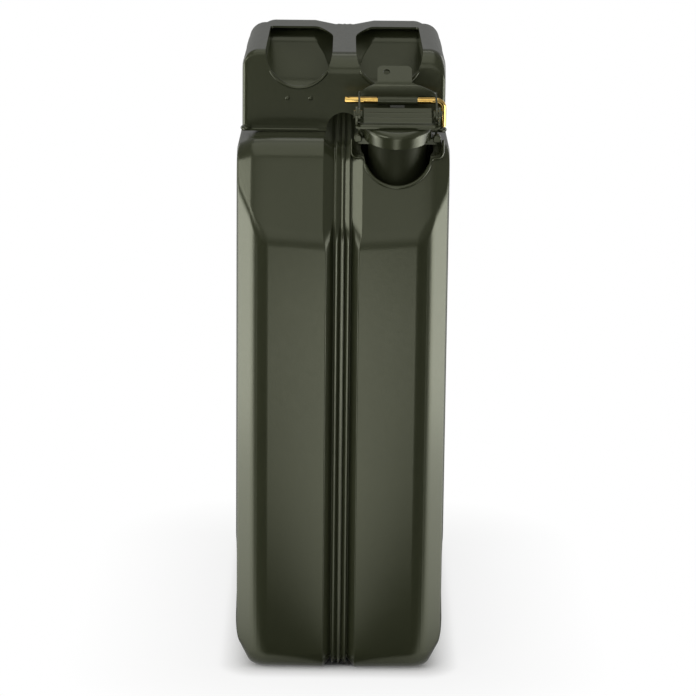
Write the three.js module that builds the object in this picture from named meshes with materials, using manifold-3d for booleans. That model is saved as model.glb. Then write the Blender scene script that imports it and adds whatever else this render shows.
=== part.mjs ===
// A pressed steel jerry can: two welded half shells, a triple-bar handle pressing, and a spout whose lid
// is held by a ribbed strap, a cam lever and a plated locking pin. Millimetres, +Z up, spout facing -Y.
import * as THREE from "three";
import { mergeVertices } from "three/addons/utils/BufferGeometryUtils.js";
import Module from "manifold-3d";

const wasm = await Module();
wasm.setup();

// Fits
const gap = 0.3; // between pieces that seat on each other
const past = 1; // how far a cutter runs past what it cuts

// Can body
const canWidth = 160;
const canLength = 345;
const saddleHeight = 414;
const humpRise = 59.1; // of the hump over the saddle
const humpLength = 122.5; // from the rear wall to the hump's front top corner
const humpLean = 14; // how far the hump's front wall runs forward on its way down
const leanHeight = 74; // the front wall leans back over this last stretch below the saddle
const frontLean = 22; // set-back of the front wall at the saddle
const shellWall = 1.2;

// Corner radii of the body's outline, seen from the side
const baseCornerRadius = 15;
const rearTopRadius = 75;
const humpCornerRadius = 16;
const saddleCornerRadius = 26;
const shoulderRadius = 9;
const bendRadius = 28;
const leastCornerRadius = 5;

// Seam between the halves: a welded flange standing in a groove that runs all round
const flangeThickness = 1.2;
const flangeInset = 1;
const seamDepth = 9;
const seamFloorHalf = 5;
const seamRiseHalf = 12; // the groove's flank is nearly out at this distance from the seam plane
const seamRise = 1.6; // depth that is left there
const seamShoulderHalf = 14.5;

// Bevel between the outline's walls and the flat sides
const bevelWidth = 22;
const bevelInset = 16;
const baseBevelInset = 28;
const baseBevelCurve = 1.7; // the base's bevel starts gently, so its edge is rounder
const saddleBevelInset = 8;
const humpWallBevelInset = 6;

// Crossed pressing on each side
const crossWidth = 44;
const crossDepth = 5;
const crossAngle = 41;
const crossHeight = 205;
const crossHighReach = 168; // from the crossing to the closed high ends
const crossRunOut = 1.2; // the low ends run this far into the bevel

// Handle pressing
const handleSetBack = 66.5; // its front plate, behind the can's front wall
const handleSeat = 18; // how far it reaches onto the hump
const handleHalfWidth = 77.6;
const handleSheet = 1.6;
const handleCornerRadius = 13;
const handleBendRadius = 8;
const barDepth = 11.7;
const plateReturn = 16; // the front plate's side edges run back this far
const centreBarHalf = 9;
const outerBarWidth = 17.6;
const slotSetBack = 7; // the slots end this far in front of the hump's corner
const seamNotchRadius = 13;
const handleFootDepth = 5;

// Spout: its own frame stands on the pocket's floor, tilted forward, with z along the neck and y to the rear
const spoutX = 40.5; // from the seam plane
const spoutSetBack = 40.5; // from the front wall
const spoutDrop = 33; // below the saddle
const spoutTilt = 17;

// Neck and lid
const neckRadius = 22;
const neckWall = 1.5;
const neckTail = 12;
const neckHeight = 45;
const neckFlangeWidth = 4;
const neckFlangeThickness = 1.5;
const rimRoll = 1.5;
const rimHeight = 4;
const lidPlay = 1.1; // between the rim and the lid's skirt
const lidSheet = 1.4;
const lidSkirt = 12;
const lidEdge = 2.5;
const gasketThickness = 2;
const gasketWidth = 12.3;
const retainerLap = 4; // how far the retainer reaches under the gasket
const retainerThickness = 1.5;
const lidRivetRadius = 2.5;
const lidRivetHeadRadius = 5;
const lidRivetHead = 1.5;

// Breather tube, from the neck to the top of the hump
const breatherRadius = 4;
const breatherBore = 2.8;
const breatherDrop = 6; // below the pocket's floor
const breatherRun = 24; // straight out of the neck
const breatherReach = 52; // behind the hump's front corner
const breatherHeadroom = 23; // below the hump's top

// Hinge behind the neck
const hingePinRadius = 1.8;
const barrelRadius = 3.5;
const hingeRise = 3; // of the hinge's axis over the lid's lower edge
const hingePlay = 0.5; // between the barrel and the lid's skirt
const knuckleHalf = 5.4;
const hingeEarSheet = 1.5;
const padSheet = 1.5;
const padHeight = 20;
const hingePadAngle = 25;
const earFoot = 8.5; // height of the ears' lower edge above the pad's foot
const rivetHead = 1.2;

// Ribbed strap over the lid
const strapHalf = 25.5;
const strapSheet = 1.5;
const strapFront = -16;
const ribPitch = 8.3;
const ribHeight = 2.6;
const ribCount = 3;
const earReach = 6.2; // of the ears' outer faces beyond the ribbed sheet
const earRadius = 6;
const earPlay = 0.5; // between the ears and the lever's arms

// Cam lever and its pivot
const pivotY = -6;
const pivotRise = 7.2; // above the strap's underside
const pivotRivetRadius = 1.8;
const pivotHeadRadius = 3.2;
const leverSheet = 1.5;
const leverArmDepth = 11;
const armHeelRadius = 2;
const hookDrop = 26.5; // below the pivot
const hookWidth = 5.5;
const hookPlay = 0.6; // behind the catch lugs
const hookRadius = 1;
const tabHalf = 13;
const tabLength = 16.5;
const tabSlope = 23.4;
const tabRise = 14.5; // above the pivot
const tabRadius = 4;
const tabHoleRadius = 2.6;
const tabHoleX = -6.7;
const tabHoleIn = 7; // from the tab's free edge
const shoulderSweep = 4; // the web's shoulders sag this far under the tab's foot

// Locking pin and its sleeve
const pinY = 19;
const pinRadius = 2.5;
const pinTip = 8; // past the left ear
const pinReach = 2.8; // past the right ear, to the middle of the bent leg
const pinLeg = 21;
const pinBend = 5;
const pinHoleRadius = 0.9;
const sleeveHalf = 15;
const sleeveWall = 0.95;

// Catch lugs beside the neck, standing in the pocket's side rooms
const lugTopRise = 4; // above the lid's lower edge
const lugFront = -6;
const lugSheet = 1.5;
const lugPadAngle = 22;
const lugRadius = 2.7;
const lugPlay = 0.6; // to the lid's skirt

// Spout pocket in the right shell
const pocketPlay = 1.5; // round the neck's flange
const scoopDepth = 10; // of the U-shaped opening in the leaning front wall
const scoopMargin = 3; // the U is this much wider than the neck on each side
const lobeRoom = 1.8; // beside the strap's ears
const lobeFloor = 26;
const lobeRear = 9;
const lobeRadius = 4;
const lobePlay = 0.8; // between a side room and its lug
const lugFloorPlay = 3;

// Facets
const roundSides = 32;
const smallSides = 12;
const cornerSteps = 4;
const largeCornerSteps = 9;
const ribSteps = 8;
const breatherSteps = 14;
const pinSteps = 26;
const tubeSides = 10;

// Places that follow from the sizes
const halfLength = canLength / 2;
const halfWidth = canWidth / 2;
const humpHeight = saddleHeight + humpRise;
const humpFront = halfLength - humpLength;
const handleFront = handleSetBack - halfLength;
const handleRear = humpFront + handleSeat;
const handleFoot = saddleHeight + gap;
const handleTop = humpHeight + gap + handleSheet;
const barBottom = handleTop - barDepth;
const plateRear = handleFront + plateReturn;
const outerBarInner = handleHalfWidth - outerBarWidth;
const slotRear = humpFront - slotSetBack;
const spoutY = spoutSetBack - halfLength;
const spoutHeight = saddleHeight - spoutDrop;
const pocketHeight = neckHeight + spoutDrop;
const neckBore = neckRadius - neckWall;
const rimRadius = neckRadius + rimRoll;
const neckFlangeRadius = neckRadius + neckFlangeWidth;
const lidRadius = rimRadius + lidPlay + lidSheet;
const gasketLow = neckHeight + gap;
const lidUnder = gasketLow + gasketThickness + gap;
const lidTop = lidUnder + lidSheet;
const skirtLow = lidTop - lidSkirt;
const gasketRadius = rimRadius;
const gasketInnerRadius = gasketRadius - gasketWidth;
const retainerRadius = gasketInnerRadius + retainerLap;
const retainerHigh = gasketLow - gap;
const retainerLow = retainerHigh - retainerThickness;
const rivetBore = lidRivetRadius + gap;
const strapLow = lidTop + gap;
const strapHigh = strapLow + strapSheet;
const hingeY = lidRadius + hingePlay + barrelRadius;
const hingeZ = skirtLow + hingeRise;
const hingeBore = hingePinRadius + gap;
const hingeEarInner = knuckleHalf + gap;
const hingeEarOuter = hingeEarInner + hingeEarSheet;
const padHigh = skirtLow - hingeRise;
const padLow = padHigh - padHeight;
const earOuter = strapHalf + earReach;
const earInner = earOuter - strapSheet;
const armOuter = earInner - earPlay;
const armInner = armOuter - leverSheet;
const pivotZ = strapLow + pivotRise;
const pivotBore = pivotRivetRadius + gap;
const tabBase = pivotZ + tabRise;
const pinBore = pinRadius + gap;
const pinLeft = -earOuter - pinTip;
const pinRight = earOuter + pinReach;
const sleeveRadius = pinBore + sleeveWall;
const webFront = pinY - leverSheet / 2;
const pocketRadius = neckFlangeRadius + pocketPlay;
const lobeReach = earOuter + lobeRoom;
const lugOuter = lobeReach - lobePlay;
const lugInner = lidRadius + lugPlay;
const lugLow = lobeFloor + lugFloorPlay;
const lugTop = skirtLow + lugTopRise;

const rad = THREE.MathUtils.degToRad;

// Materials
const paint = { color: 0x4b4d3f, roughness: 0.42, metalness: 0.1 };
const plated = { color: 0xc9a24a, roughness: 0.3, metalness: 1 };
const bareSteel = { color: 0x8d8d88, roughness: 0.4, metalness: 1 };
const rubber = { color: 0x1d1d1c, roughness: 0.9, metalness: 0 };

// Closed geometry to solid and back
function solid(geometry) {
  const bare = geometry.clone();
  bare.deleteAttribute("normal");
  bare.deleteAttribute("uv");
  const merged = mergeVertices(bare, 1e-4);
  const vertProperties = new Float32Array(merged.attributes.position.array);
  const triVerts = new Uint32Array(merged.index.array);
  return new wasm.Manifold(new wasm.Mesh({ numProp: 3, vertProperties, triVerts }));
}

function geometryOf(body) {
  const mesh = body.getMesh();
  const geometry = new THREE.BufferGeometry();
  geometry.setAttribute("position", new THREE.BufferAttribute(new Float32Array(mesh.vertProperties), 3));
  geometry.setIndex(new THREE.BufferAttribute(new Uint32Array(mesh.triVerts), 1));
  geometry.computeVertexNormals();
  return geometry;
}

function joined(...bodies) {
  return bodies.reduce((sum, body) => sum.add(body));
}

function piece(name, body, finish) {
  const mesh = new THREE.Mesh(geometryOf(body), new THREE.MeshStandardMaterial(finish));
  mesh.name = name;
  return mesh;
}

// Basic forms
function box(x0, x1, y0, y1, z0, z1) {
  const geometry = new THREE.BoxGeometry(x1 - x0, y1 - y0, z1 - z0);
  return solid(geometry.translate((x0 + x1) / 2, (y0 + y1) / 2, (z0 + z1) / 2));
}

function polygon(points) {
  return new THREE.Shape(points.map(([u, v]) => new THREE.Vector2(u, v)));
}

function extruded(shape, depth, curveSegments = 6) {
  return new THREE.ExtrudeGeometry(shape, { depth, curveSegments, bevelEnabled: false });
}

// A plate whose outline is drawn in (y, z) and which runs from x0 to x1
function plateAcrossX(shape, x0, x1, curveSegments) {
  const turn = new THREE.Matrix4().makeBasis(
    new THREE.Vector3(0, 1, 0),
    new THREE.Vector3(0, 0, 1),
    new THREE.Vector3(1, 0, 0),
  );
  return solid(extruded(shape, x1 - x0, curveSegments).applyMatrix4(turn).translate(x0, 0, 0));
}

// A plate whose outline is drawn in (x, z) and which runs from y0 to y1
function plateAcrossY(shape, y0, y1, curveSegments) {
  return solid(extruded(shape, y1 - y0, curveSegments).rotateX(Math.PI / 2).translate(0, y1, 0));
}

// A round bar along x, y or z
function barAlong(axis, radius, from, to, sides = smallSides) {
  const geometry = new THREE.CylinderGeometry(radius, radius, to - from, sides);
  geometry.translate(0, (from + to) / 2, 0);
  if (axis === "x") geometry.rotateZ(-Math.PI / 2);
  if (axis === "z") geometry.rotateX(Math.PI / 2);
  return solid(geometry);
}

// A turned piece about z, from a closed profile of (radius, z) that runs anticlockwise
function turned(profile, sides = roundSides) {
  const points = [...profile, profile[0]].map(([r, z]) => new THREE.Vector2(r, z));
  return solid(new THREE.LatheGeometry(points, sides).rotateX(Math.PI / 2));
}

// A rectangle in the drawing plane with the corners that `radii` names rounded, from low left, anticlockwise
function roundedRectangle(u0, u1, v0, v1, radii) {
  const shape = new THREE.Shape();
  const [lowLeft, lowRight, highRight, highLeft] = radii;
  const quarter = Math.PI / 2;
  shape.moveTo(u0 + lowLeft, v0);
  shape.lineTo(u1 - lowRight, v0);
  if (lowRight) shape.absarc(u1 - lowRight, v0 + lowRight, lowRight, -quarter, 0);
  shape.lineTo(u1, v1 - highRight);
  if (highRight) shape.absarc(u1 - highRight, v1 - highRight, highRight, 0, quarter);
  shape.lineTo(u0 + highLeft, v1);
  if (highLeft) shape.absarc(u0 + highLeft, v1 - highLeft, highLeft, quarter, 2 * quarter);
  shape.lineTo(u0, v0 + lowLeft);
  if (lowLeft) shape.absarc(u0 + lowLeft, v0 + lowLeft, lowLeft, 2 * quarter, 3 * quarter);
  return shape;
}

// Body outline: straight walls, each set in by its own amount, with rounded corners between them
const corner = (y, z, radius, steps = cornerSteps) => ({ at: new THREE.Vector2(y, z), radius, steps });
const bodyCorners = [
  corner(-halfLength, 0, baseCornerRadius),
  corner(halfLength, 0, baseCornerRadius),
  corner(halfLength, humpHeight, rearTopRadius, largeCornerSteps),
  corner(humpFront, humpHeight, humpCornerRadius),
  corner(humpFront - humpLean, saddleHeight, saddleCornerRadius),
  corner(frontLean - halfLength, saddleHeight, shoulderRadius),
  corner(-halfLength, saddleHeight - leanHeight, bendRadius),
];

// Bevel of each wall in the same order: base, rear, hump top, hump front, saddle, leaning front, front
const wallBevels = [
  { inset: baseBevelInset, curve: baseBevelCurve },
  { inset: bevelInset, curve: 1 },
  { inset: bevelInset, curve: 1 },
  { inset: humpWallBevelInset, curve: 1 },
  { inset: saddleBevelInset, curve: 1 },
  { inset: 0, curve: 1 },
  { inset: bevelInset, curve: 1 },
];

function crossing(a, directionA, b, directionB) {
  const along = b.clone().sub(a).cross(directionB) / directionA.cross(directionB);
  return a.clone().addScaledVector(directionA, along);
}

function outlineRing(x, seamInset, bevelShare) {
  const count = bodyCorners.length;
  const walls = bodyCorners.map(({ at }, i) => {
    const direction = bodyCorners[(i + 1) % count].at.clone().sub(at).normalize();
    const inset = seamInset + wallBevels[i].inset * bevelShare ** wallBevels[i].curve;
    const inward = new THREE.Vector2(-direction.y, direction.x);
    return { direction, inset, inward, start: at.clone().addScaledVector(inward, inset) };
  });
  return bodyCorners.flatMap(({ radius: fullRadius, steps }, i) => {
    const before = walls[(i + count - 1) % count];
    const after = walls[i];
    const tip = crossing(before.start, before.direction, after.start, after.direction);
    const turn = Math.asin(before.direction.cross(after.direction));
    const side = Math.sign(turn);
    const setIn = side * Math.min(before.inset, after.inset);
    const radius = Math.max(fullRadius - setIn, leastCornerRadius);
    const tangent = radius * Math.tan(Math.abs(turn) / 2);
    const arcStart = tip.clone().addScaledVector(before.direction, -tangent);
    const centre = arcStart.clone().addScaledVector(before.inward, side * radius);
    return Array.from({ length: steps + 1 }, (_, step) => {
      const point = arcStart.clone().rotateAround(centre, (turn * step) / steps);
      return new THREE.Vector3(x, point.x, point.y);
    });
  });
}

// A closed solid through rings of equally many points, each anticlockwise seen from +X
function lofted(rings) {
  const count = rings[0].length;
  const faces = [];
  const cap = THREE.ShapeUtils.triangulateShape(
    rings[0].map((point) => new THREE.Vector2(point.y, point.z)),
    [],
  );
  const endCap = THREE.ShapeUtils.triangulateShape(
    rings.at(-1).map((point) => new THREE.Vector2(point.y, point.z)),
    [],
  );
  const last = (rings.length - 1) * count;
  for (const [a, b, c] of cap) faces.push(a, c, b);
  for (const [a, b, c] of endCap) faces.push(last + a, last + b, last + c);
  for (let ring = 0; ring + 1 < rings.length; ring += 1) {
    for (let i = 0; i < count; i += 1) {
      const a = ring * count + i;
      const b = ring * count + ((i + 1) % count);
      faces.push(a, b, a + count, b, b + count, a + count);
    }
  }
  const geometry = new THREE.BufferGeometry().setFromPoints(rings.flat());
  geometry.setIndex(faces);
  return solid(geometry);
}

// Half can, from the seam plane to the flat side. Each station is [x, seam inset, share of the bevel].
const bevelStart = halfWidth - bevelWidth;
const bevelRunIn = { along: 0.18, share: 0.1 }; // a soft step where the bevel leaves the wall
const bevelRunOut = { along: 0.89, share: 0.82 }; // and one where it meets the flat side

const bodyStations = [
  [0, flangeInset, 0],
  [flangeThickness, flangeInset, 0],
  [flangeThickness, seamDepth, 0],
  [seamFloorHalf, seamDepth, 0],
  [seamRiseHalf, seamRise, 0],
  [seamShoulderHalf, 0, 0],
  [bevelStart, 0, 0],
  [bevelStart + bevelWidth * bevelRunIn.along, 0, bevelRunIn.share],
  [bevelStart + bevelWidth * bevelRunOut.along, 0, bevelRunOut.share],
  [halfWidth, 0, 1],
];
const grooveFloorStation = 3; // where the hollow's stations begin

function halfBody() {
  return lofted(bodyStations.map(([x, seamInset, bevel]) => outlineRing(x, seamInset, bevel)));
}

// The hollow follows the same stations one wall further in, and runs out through the seam plane
function halfHollow() {
  const inner = bodyStations.slice(grooveFloorStation).map(([x, seamInset, bevel]) => {
    const inside = Math.min(x, halfWidth - shellWall);
    return outlineRing(inside, seamInset + shellWall, bevel);
  });
  return lofted([outlineRing(-past, seamDepth + shellWall, 0), ...inner]);
}

// Crossed pressing: two sloped channels across the flat side, closed at their high ends
function crossChannels(growth) {
  const top = crossWidth / 2 + past + growth;
  const bottom = crossWidth / 2 - crossDepth + growth;
  const floor = -crossDepth - growth;
  const section = polygon([
    [-bottom, floor],
    [bottom, floor],
    [top, past],
    [-top, past],
  ]);
  const highReach = crossHighReach + growth;
  const channel = (angle) => {
    const along = new THREE.Vector3(0, Math.cos(angle), Math.sin(angle));
    const across = new THREE.Vector3(0, -Math.sin(angle), Math.cos(angle));
    const place = new THREE.Matrix4().makeBasis(across, new THREE.Vector3(1, 0, 0), along);
    const start = along.clone().multiplyScalar(angle > 0 ? -canLength : -highReach);
    place.setPosition(halfWidth, start.y, crossHeight + start.z);
    return solid(extruded(section, canLength + highReach).applyMatrix4(place));
  };
  const steep = rad(crossAngle);
  const runOut = halfLength - bevelInset + crossRunOut + growth;
  const within = box(halfWidth + floor - past, halfWidth + past, -runOut, runOut, 0, humpHeight);
  return channel(steep).add(channel(-steep)).intersect(within);
}

// Spout pocket: a round well with a side room for each catch lug, and a scoop in the wall before it
const spoutFrame = new THREE.Matrix4().makeRotationX(rad(spoutTilt)).setPosition(spoutX, spoutY, spoutHeight);

function inCanFrame(body) {
  return body.transform(spoutFrame.elements);
}

// The U starts where the front of the well meets the wall
function scoopCutter(growth) {
  const lean = Math.atan2(frontLean, leanHeight);
  const inwards = new THREE.Vector3(0, Math.cos(lean), -Math.sin(lean));
  const onWall = new THREE.Vector3(spoutX, -halfLength, saddleHeight - leanHeight);
  const wellFront = new THREE.Vector3(0, -pocketRadius, 0).applyMatrix4(spoutFrame);
  const along = new THREE.Vector3(0, 0, 1).transformDirection(spoutFrame);
  const reach = onWall.sub(wellFront).dot(inwards) / along.dot(inwards);
  const low = wellFront.addScaledVector(along, reach);
  const half = neckRadius + scoopMargin + growth;
  const round = half - gap;
  const outline = roundedRectangle(-half, half, -growth, pocketHeight, [round, round, 0, 0]);
  return plateAcrossY(outline, -pocketHeight, scoopDepth + growth, cornerSteps * 2)
    .rotate([-THREE.MathUtils.radToDeg(lean), 0, 0])
    .translate(low.x, low.y, low.z);
}

function pocketCutter(growth) {
  const well = barAlong("z", pocketRadius + growth, -growth, pocketHeight, roundSides);
  const reach = lobeReach + growth;
  const radius = lobeRadius + growth;
  const rooms = roundedRectangle(-reach, reach, lobeFloor - growth, pocketHeight, [radius, radius, 0, 0]);
  const sides = plateAcrossY(rooms, -pocketHeight, lobeRear + growth, cornerSteps);
  return inCanFrame(well.add(sides)).add(scoopCutter(growth));
}

function leftShell() {
  const outside = halfBody().subtract(crossChannels(0));
  const inside = halfHollow().subtract(crossChannels(shellWall));
  return outside.subtract(inside);
}

function rightShell() {
  const outside = halfBody().subtract(crossChannels(0)).subtract(pocketCutter(0));
  const inside = halfHollow().subtract(crossChannels(shellWall)).subtract(pocketCutter(shellWall));
  const neckHole = barAlong("z", neckRadius + gap, -shellWall - past, past, roundSides);
  return outside.subtract(inside).subtract(inCanFrame(neckHole));
}

// Handle: a bent sheet with channel bars, windows in its front plate and a notch over the seam
function handleForm(inset) {
  const low = handleFoot - (inset ? past : 0);
  const bend = handleBendRadius - inset;
  const corner = handleCornerRadius - inset;
  const width = handleHalfWidth - inset;
  const rounded = [0, 0, 0, bend];
  const side = roundedRectangle(handleFront + inset, handleRear - inset, low, handleTop - inset, rounded);
  const front = roundedRectangle(-width, width, low, handleTop - inset, [0, 0, corner, corner]);
  return plateAcrossX(side, -width, width).intersect(plateAcrossY(front, handleFront, handleRear));
}

function handleUnit() {
  const wide = handleHalfWidth + past;
  const centreInner = centreBarHalf - handleSheet;
  const outerInner = outerBarInner + handleSheet;
  const underBars = box(-wide, wide, plateRear, handleRear + past, handleFoot - past, barBottom);
  const channels = [
    box(-wide, wide, handleFront, plateRear, handleFoot - past, handleTop),
    box(-centreInner, centreInner, handleFront, handleRear, barBottom, handleTop),
    box(outerInner, wide, handleFront, handleRear, barBottom, handleTop),
    box(-wide, -outerInner, handleFront, handleRear, barBottom, handleTop),
  ];
  const inside = handleForm(handleSheet).intersect(joined(...channels));
  const windowMiddle = (centreBarHalf + outerBarInner) / 2;
  const windowRadius = (outerBarInner - centreBarHalf) / 2;
  const openings = [-1, 1].flatMap((side) => {
    const [from, to] = [side * centreBarHalf, side * outerBarInner].sort((a, b) => a - b);
    const slot = box(from, to, handleFront + handleSheet, slotRear, barBottom - past, handleTop + past);
    const window = barAlong("y", windowRadius, handleFront - past, plateRear, roundSides);
    return [slot, window.translate(side * windowMiddle, 0, handleTop)];
  });
  const notch = barAlong("y", seamNotchRadius, handleFront - handleFootDepth - past, plateRear);
  const foot = box(
    -handleHalfWidth,
    handleHalfWidth,
    handleFront - handleFootDepth,
    handleFront + handleSheet,
    handleFoot,
    handleFoot + handleSheet,
  );
  const sheetLow = handleTop - handleSheet;
  const crossRoom = box(-outerInner, outerInner, slotRear, handleRear + past, barBottom - past, sheetLow);
  const hump = joined(halfBody(), halfBody().mirror([1, 0, 0]));
  const seat = hump.intersect(box(-wide, wide, slotRear, halfLength, saddleHeight, handleTop));
  return joined(handleForm(0).subtract(underBars).subtract(inside), foot)
    .subtract(crossRoom)
    .subtract(seat.translate(0, -gap, gap))
    .subtract(joined(...openings))
    .subtract(notch.translate(0, 0, handleFoot));
}

// Neck with a root flange and a rolled rim, and a vent hole for the breather tube
function fillerNeck() {
  const rimLow = neckHeight - rimHeight;
  const tube = turned([
    [neckBore, -neckTail],
    [neckRadius, -neckTail],
    [neckRadius, gap],
    [neckFlangeRadius, gap],
    [neckFlangeRadius, gap + neckFlangeThickness],
    [neckRadius, gap + 2 * neckFlangeThickness],
    [neckRadius, rimLow - rimRoll],
    [rimRadius, rimLow],
    [rimRadius, neckHeight - rimRoll / 2],
    [rimRadius - rimRoll / 2, neckHeight],
    [neckBore, neckHeight],
  ]);
  const vent = barAlong("y", breatherBore, 0, neckRadius + past).translate(0, 0, -breatherDrop);
  return tube.subtract(vent);
}

function breatherTube() {
  const section = new THREE.Shape().absarc(0, 0, breatherRadius, 0, 2 * Math.PI);
  section.holes.push(new THREE.Path().absarc(0, 0, breatherBore, 0, 2 * Math.PI, true));
  const start = new THREE.Vector3(0, neckRadius + gap, -breatherDrop).applyMatrix4(spoutFrame);
  const outwards = new THREE.Vector3(0, 1, 0).transformDirection(spoutFrame);
  const runEnd = start.clone().addScaledVector(outwards, breatherRun);
  const under = new THREE.Vector3(spoutX, humpFront, (start.z + runEnd.z) / 2);
  const end = new THREE.Vector3(spoutX, humpFront + breatherReach, humpHeight - breatherHeadroom);
  const extrudePath = new THREE.CatmullRomCurve3([start, runEnd, under, end]);
  const options = { steps: breatherSteps, curveSegments: tubeSides / 2, extrudePath, bevelEnabled: false };
  return solid(new THREE.ExtrudeGeometry(section, options));
}

// A pad curved round the neck, of the given half angle about the rear (90), right (0) or left (180)
function neckPad(middle, halfAngle, low, high) {
  const inner = neckRadius + gap;
  const outer = inner + padSheet;
  const pad = new THREE.Shape();
  pad.absarc(0, 0, outer, rad(middle - halfAngle), rad(middle + halfAngle));
  pad.absarc(0, 0, inner, rad(middle + halfAngle), rad(middle - halfAngle), true);
  return solid(extruded(pad, high - low, smallSides).translate(0, 0, low));
}

function hingeBracket() {
  const ear = new THREE.Shape();
  const padSurface = neckRadius + padSheet / 2;
  ear.moveTo(padSurface, padLow + earFoot);
  ear.lineTo(hingeY + barrelRadius, hingeZ - barrelRadius);
  ear.lineTo(hingeY + barrelRadius, hingeZ);
  ear.absarc(hingeY, hingeZ, barrelRadius, 0, Math.PI);
  ear.lineTo(hingeY - barrelRadius, skirtLow - past);
  ear.lineTo(padSurface, skirtLow - past);
  const ears = [-hingeEarOuter, hingeEarInner].map((x) => plateAcrossX(ear, x, x + hingeEarSheet));
  const bore = barAlong("x", hingeBore, -hingeEarOuter - past, hingeEarOuter + past);
  const pad = neckPad(90, hingePadAngle, padLow, padHigh);
  const clear = barAlong("z", neckRadius + gap, padLow, hingeZ, roundSides);
  return joined(pad, ...ears).subtract(bore.translate(0, hingeY, hingeZ)).subtract(clear);
}

// A rivet or pin along x with a head at each end
function headedPin(radius, headRadius, from, to) {
  const shank = barAlong("x", radius, from - rivetHead / 2, to + rivetHead / 2);
  const leftHead = barAlong("x", headRadius, from - rivetHead, from);
  const rightHead = barAlong("x", headRadius, to, to + rivetHead);
  return joined(shank, leftHead, rightHead);
}

function hingePin() {
  const reach = hingeEarOuter + gap;
  return headedPin(hingePinRadius, barrelRadius - gap, -reach, reach).translate(0, hingeY, hingeZ);
}

function catchLug(side) {
  const wing = polygon([
    [neckRadius, lugLow],
    [lugOuter, lugLow],
    [lugOuter, skirtLow],
    [lugInner, skirtLow],
    [lugInner, skirtLow - past],
    [neckRadius, skirtLow - past],
  ]);
  const ear = roundedRectangle(lugInner, lugOuter, lugLow, lugTop, [0, 0, lugRadius, lugRadius]);
  const plate = (shape) => plateAcrossY(shape, lugFront, lugFront + lugSheet);
  const clear = barAlong("z", neckRadius + gap, lugLow - past, lugTop, roundSides);
  const lug = joined(plate(wing), plate(ear)).subtract(clear).add(neckPad(0, lugPadAngle, lugLow, padHigh));
  return side > 0 ? lug : lug.mirror([1, 0, 0]);
}

// Lid, its gasket, the disc that holds the gasket and the rivet through them
function lidDish() {
  const inner = lidRadius - lidSheet;
  const innerEdge = lidEdge - lidSheet;
  return turned([
    [rivetBore, lidUnder],
    [inner - innerEdge, lidUnder],
    [inner, lidUnder - innerEdge],
    [inner, skirtLow],
    [lidRadius, skirtLow],
    [lidRadius, lidTop - lidEdge],
    [lidRadius - lidEdge / 3, lidTop - lidEdge / 3],
    [lidRadius - lidEdge, lidTop],
    [rivetBore, lidTop],
  ]);
}

function lidGasket() {
  const high = gasketLow + gasketThickness;
  return turned([
    [gasketInnerRadius, gasketLow],
    [gasketRadius, gasketLow],
    [gasketRadius, high],
    [gasketInnerRadius, high],
  ]);
}

function gasketRetainer() {
  return turned([
    [rivetBore, retainerLow],
    [retainerRadius, retainerLow],
    [retainerRadius, retainerHigh],
    [rivetBore, retainerHigh],
  ]);
}

function lidRivet() {
  const headTop = retainerLow - gap;
  const head = barAlong("z", lidRivetHeadRadius, headTop - lidRivetHead, headTop);
  return head.add(barAlong("z", lidRivetRadius, headTop - lidRivetHead / 2, strapHigh));
}

// Strap: a sheet with ribs along x, two ears for the lever and a tongue down to the hinge.
// The sheet rises and falls as a cosine, starting one pitch in front of the lid's centre.
function ribbedSheet() {
  const steps = ribCount * ribSteps;
  const ribbed = Array.from({ length: steps + 1 }, (_, i) => {
    const y = ribPitch * (i / ribSteps - 1);
    const rise = (ribHeight * (1 - Math.cos((2 * Math.PI * i) / ribSteps))) / 2;
    return [y, strapLow + rise];
  });
  const under = [[strapFront, strapLow], ...ribbed];
  const over = under.map(([y, z]) => [y, z + strapSheet]).reverse();
  return plateAcrossX(polygon([...under, ...over]), -strapHalf, strapHalf);
}

function clampStrap() {
  const flange = box(-earOuter, earOuter, strapFront, -ribPitch, strapLow, strapHigh);
  const earCorners = [0, earRadius / 2, earRadius, earRadius];
  const earRear = pivotY + earRadius;
  const ear = roundedRectangle(pivotY - earRadius, earRear, strapLow, pivotZ + earRadius, earCorners);
  const ears = [-earOuter, earInner].map((x) => plateAcrossX(ear, x, x + strapSheet));
  const wallFront = lidRadius + 2 * gap;
  const wallRear = wallFront + strapSheet;
  const tongue = box(-knuckleHalf, knuckleHalf, ribPitch, wallRear, strapLow, strapHigh);
  const wall = box(-knuckleHalf, knuckleHalf, wallFront, wallRear, hingeZ, strapHigh);
  const barrel = barAlong("x", barrelRadius, -knuckleHalf, knuckleHalf).translate(0, hingeY, hingeZ);
  const bore = barAlong("x", hingeBore, -knuckleHalf - past, knuckleHalf + past).translate(0, hingeY, hingeZ);
  const pivot = barAlong("x", pivotBore, -earOuter - past, earOuter + past).translate(0, pivotY, pivotZ);
  const rivetHole = barAlong("z", rivetBore, lidTop - past, strapHigh + ribHeight);
  return joined(ribbedSheet(), flange, ...ears, tongue, wall, barrel)
    .subtract(bore)
    .subtract(pivot)
    .subtract(rivetHole);
}

// Cam lever: side arms with hooks, a web bent up between them, a rolled sleeve for the pin and the thumb tab
function leverArm(x) {
  const half = leverArmDepth / 2;
  const corners = [half, half, armHeelRadius, half];
  const bar = roundedRectangle(pivotY - half, pinY + half, pivotZ - half, pivotZ + half, corners);
  const hookFront = lugFront + lugSheet + hookPlay;
  const hookCorners = [hookRadius, hookRadius, 0, 0];
  const hook = roundedRectangle(hookFront, hookFront + hookWidth, pivotZ - hookDrop, pivotZ, hookCorners);
  return plateAcrossX(bar, x, x + leverSheet).add(plateAcrossX(hook, x, x + leverSheet));
}

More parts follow.
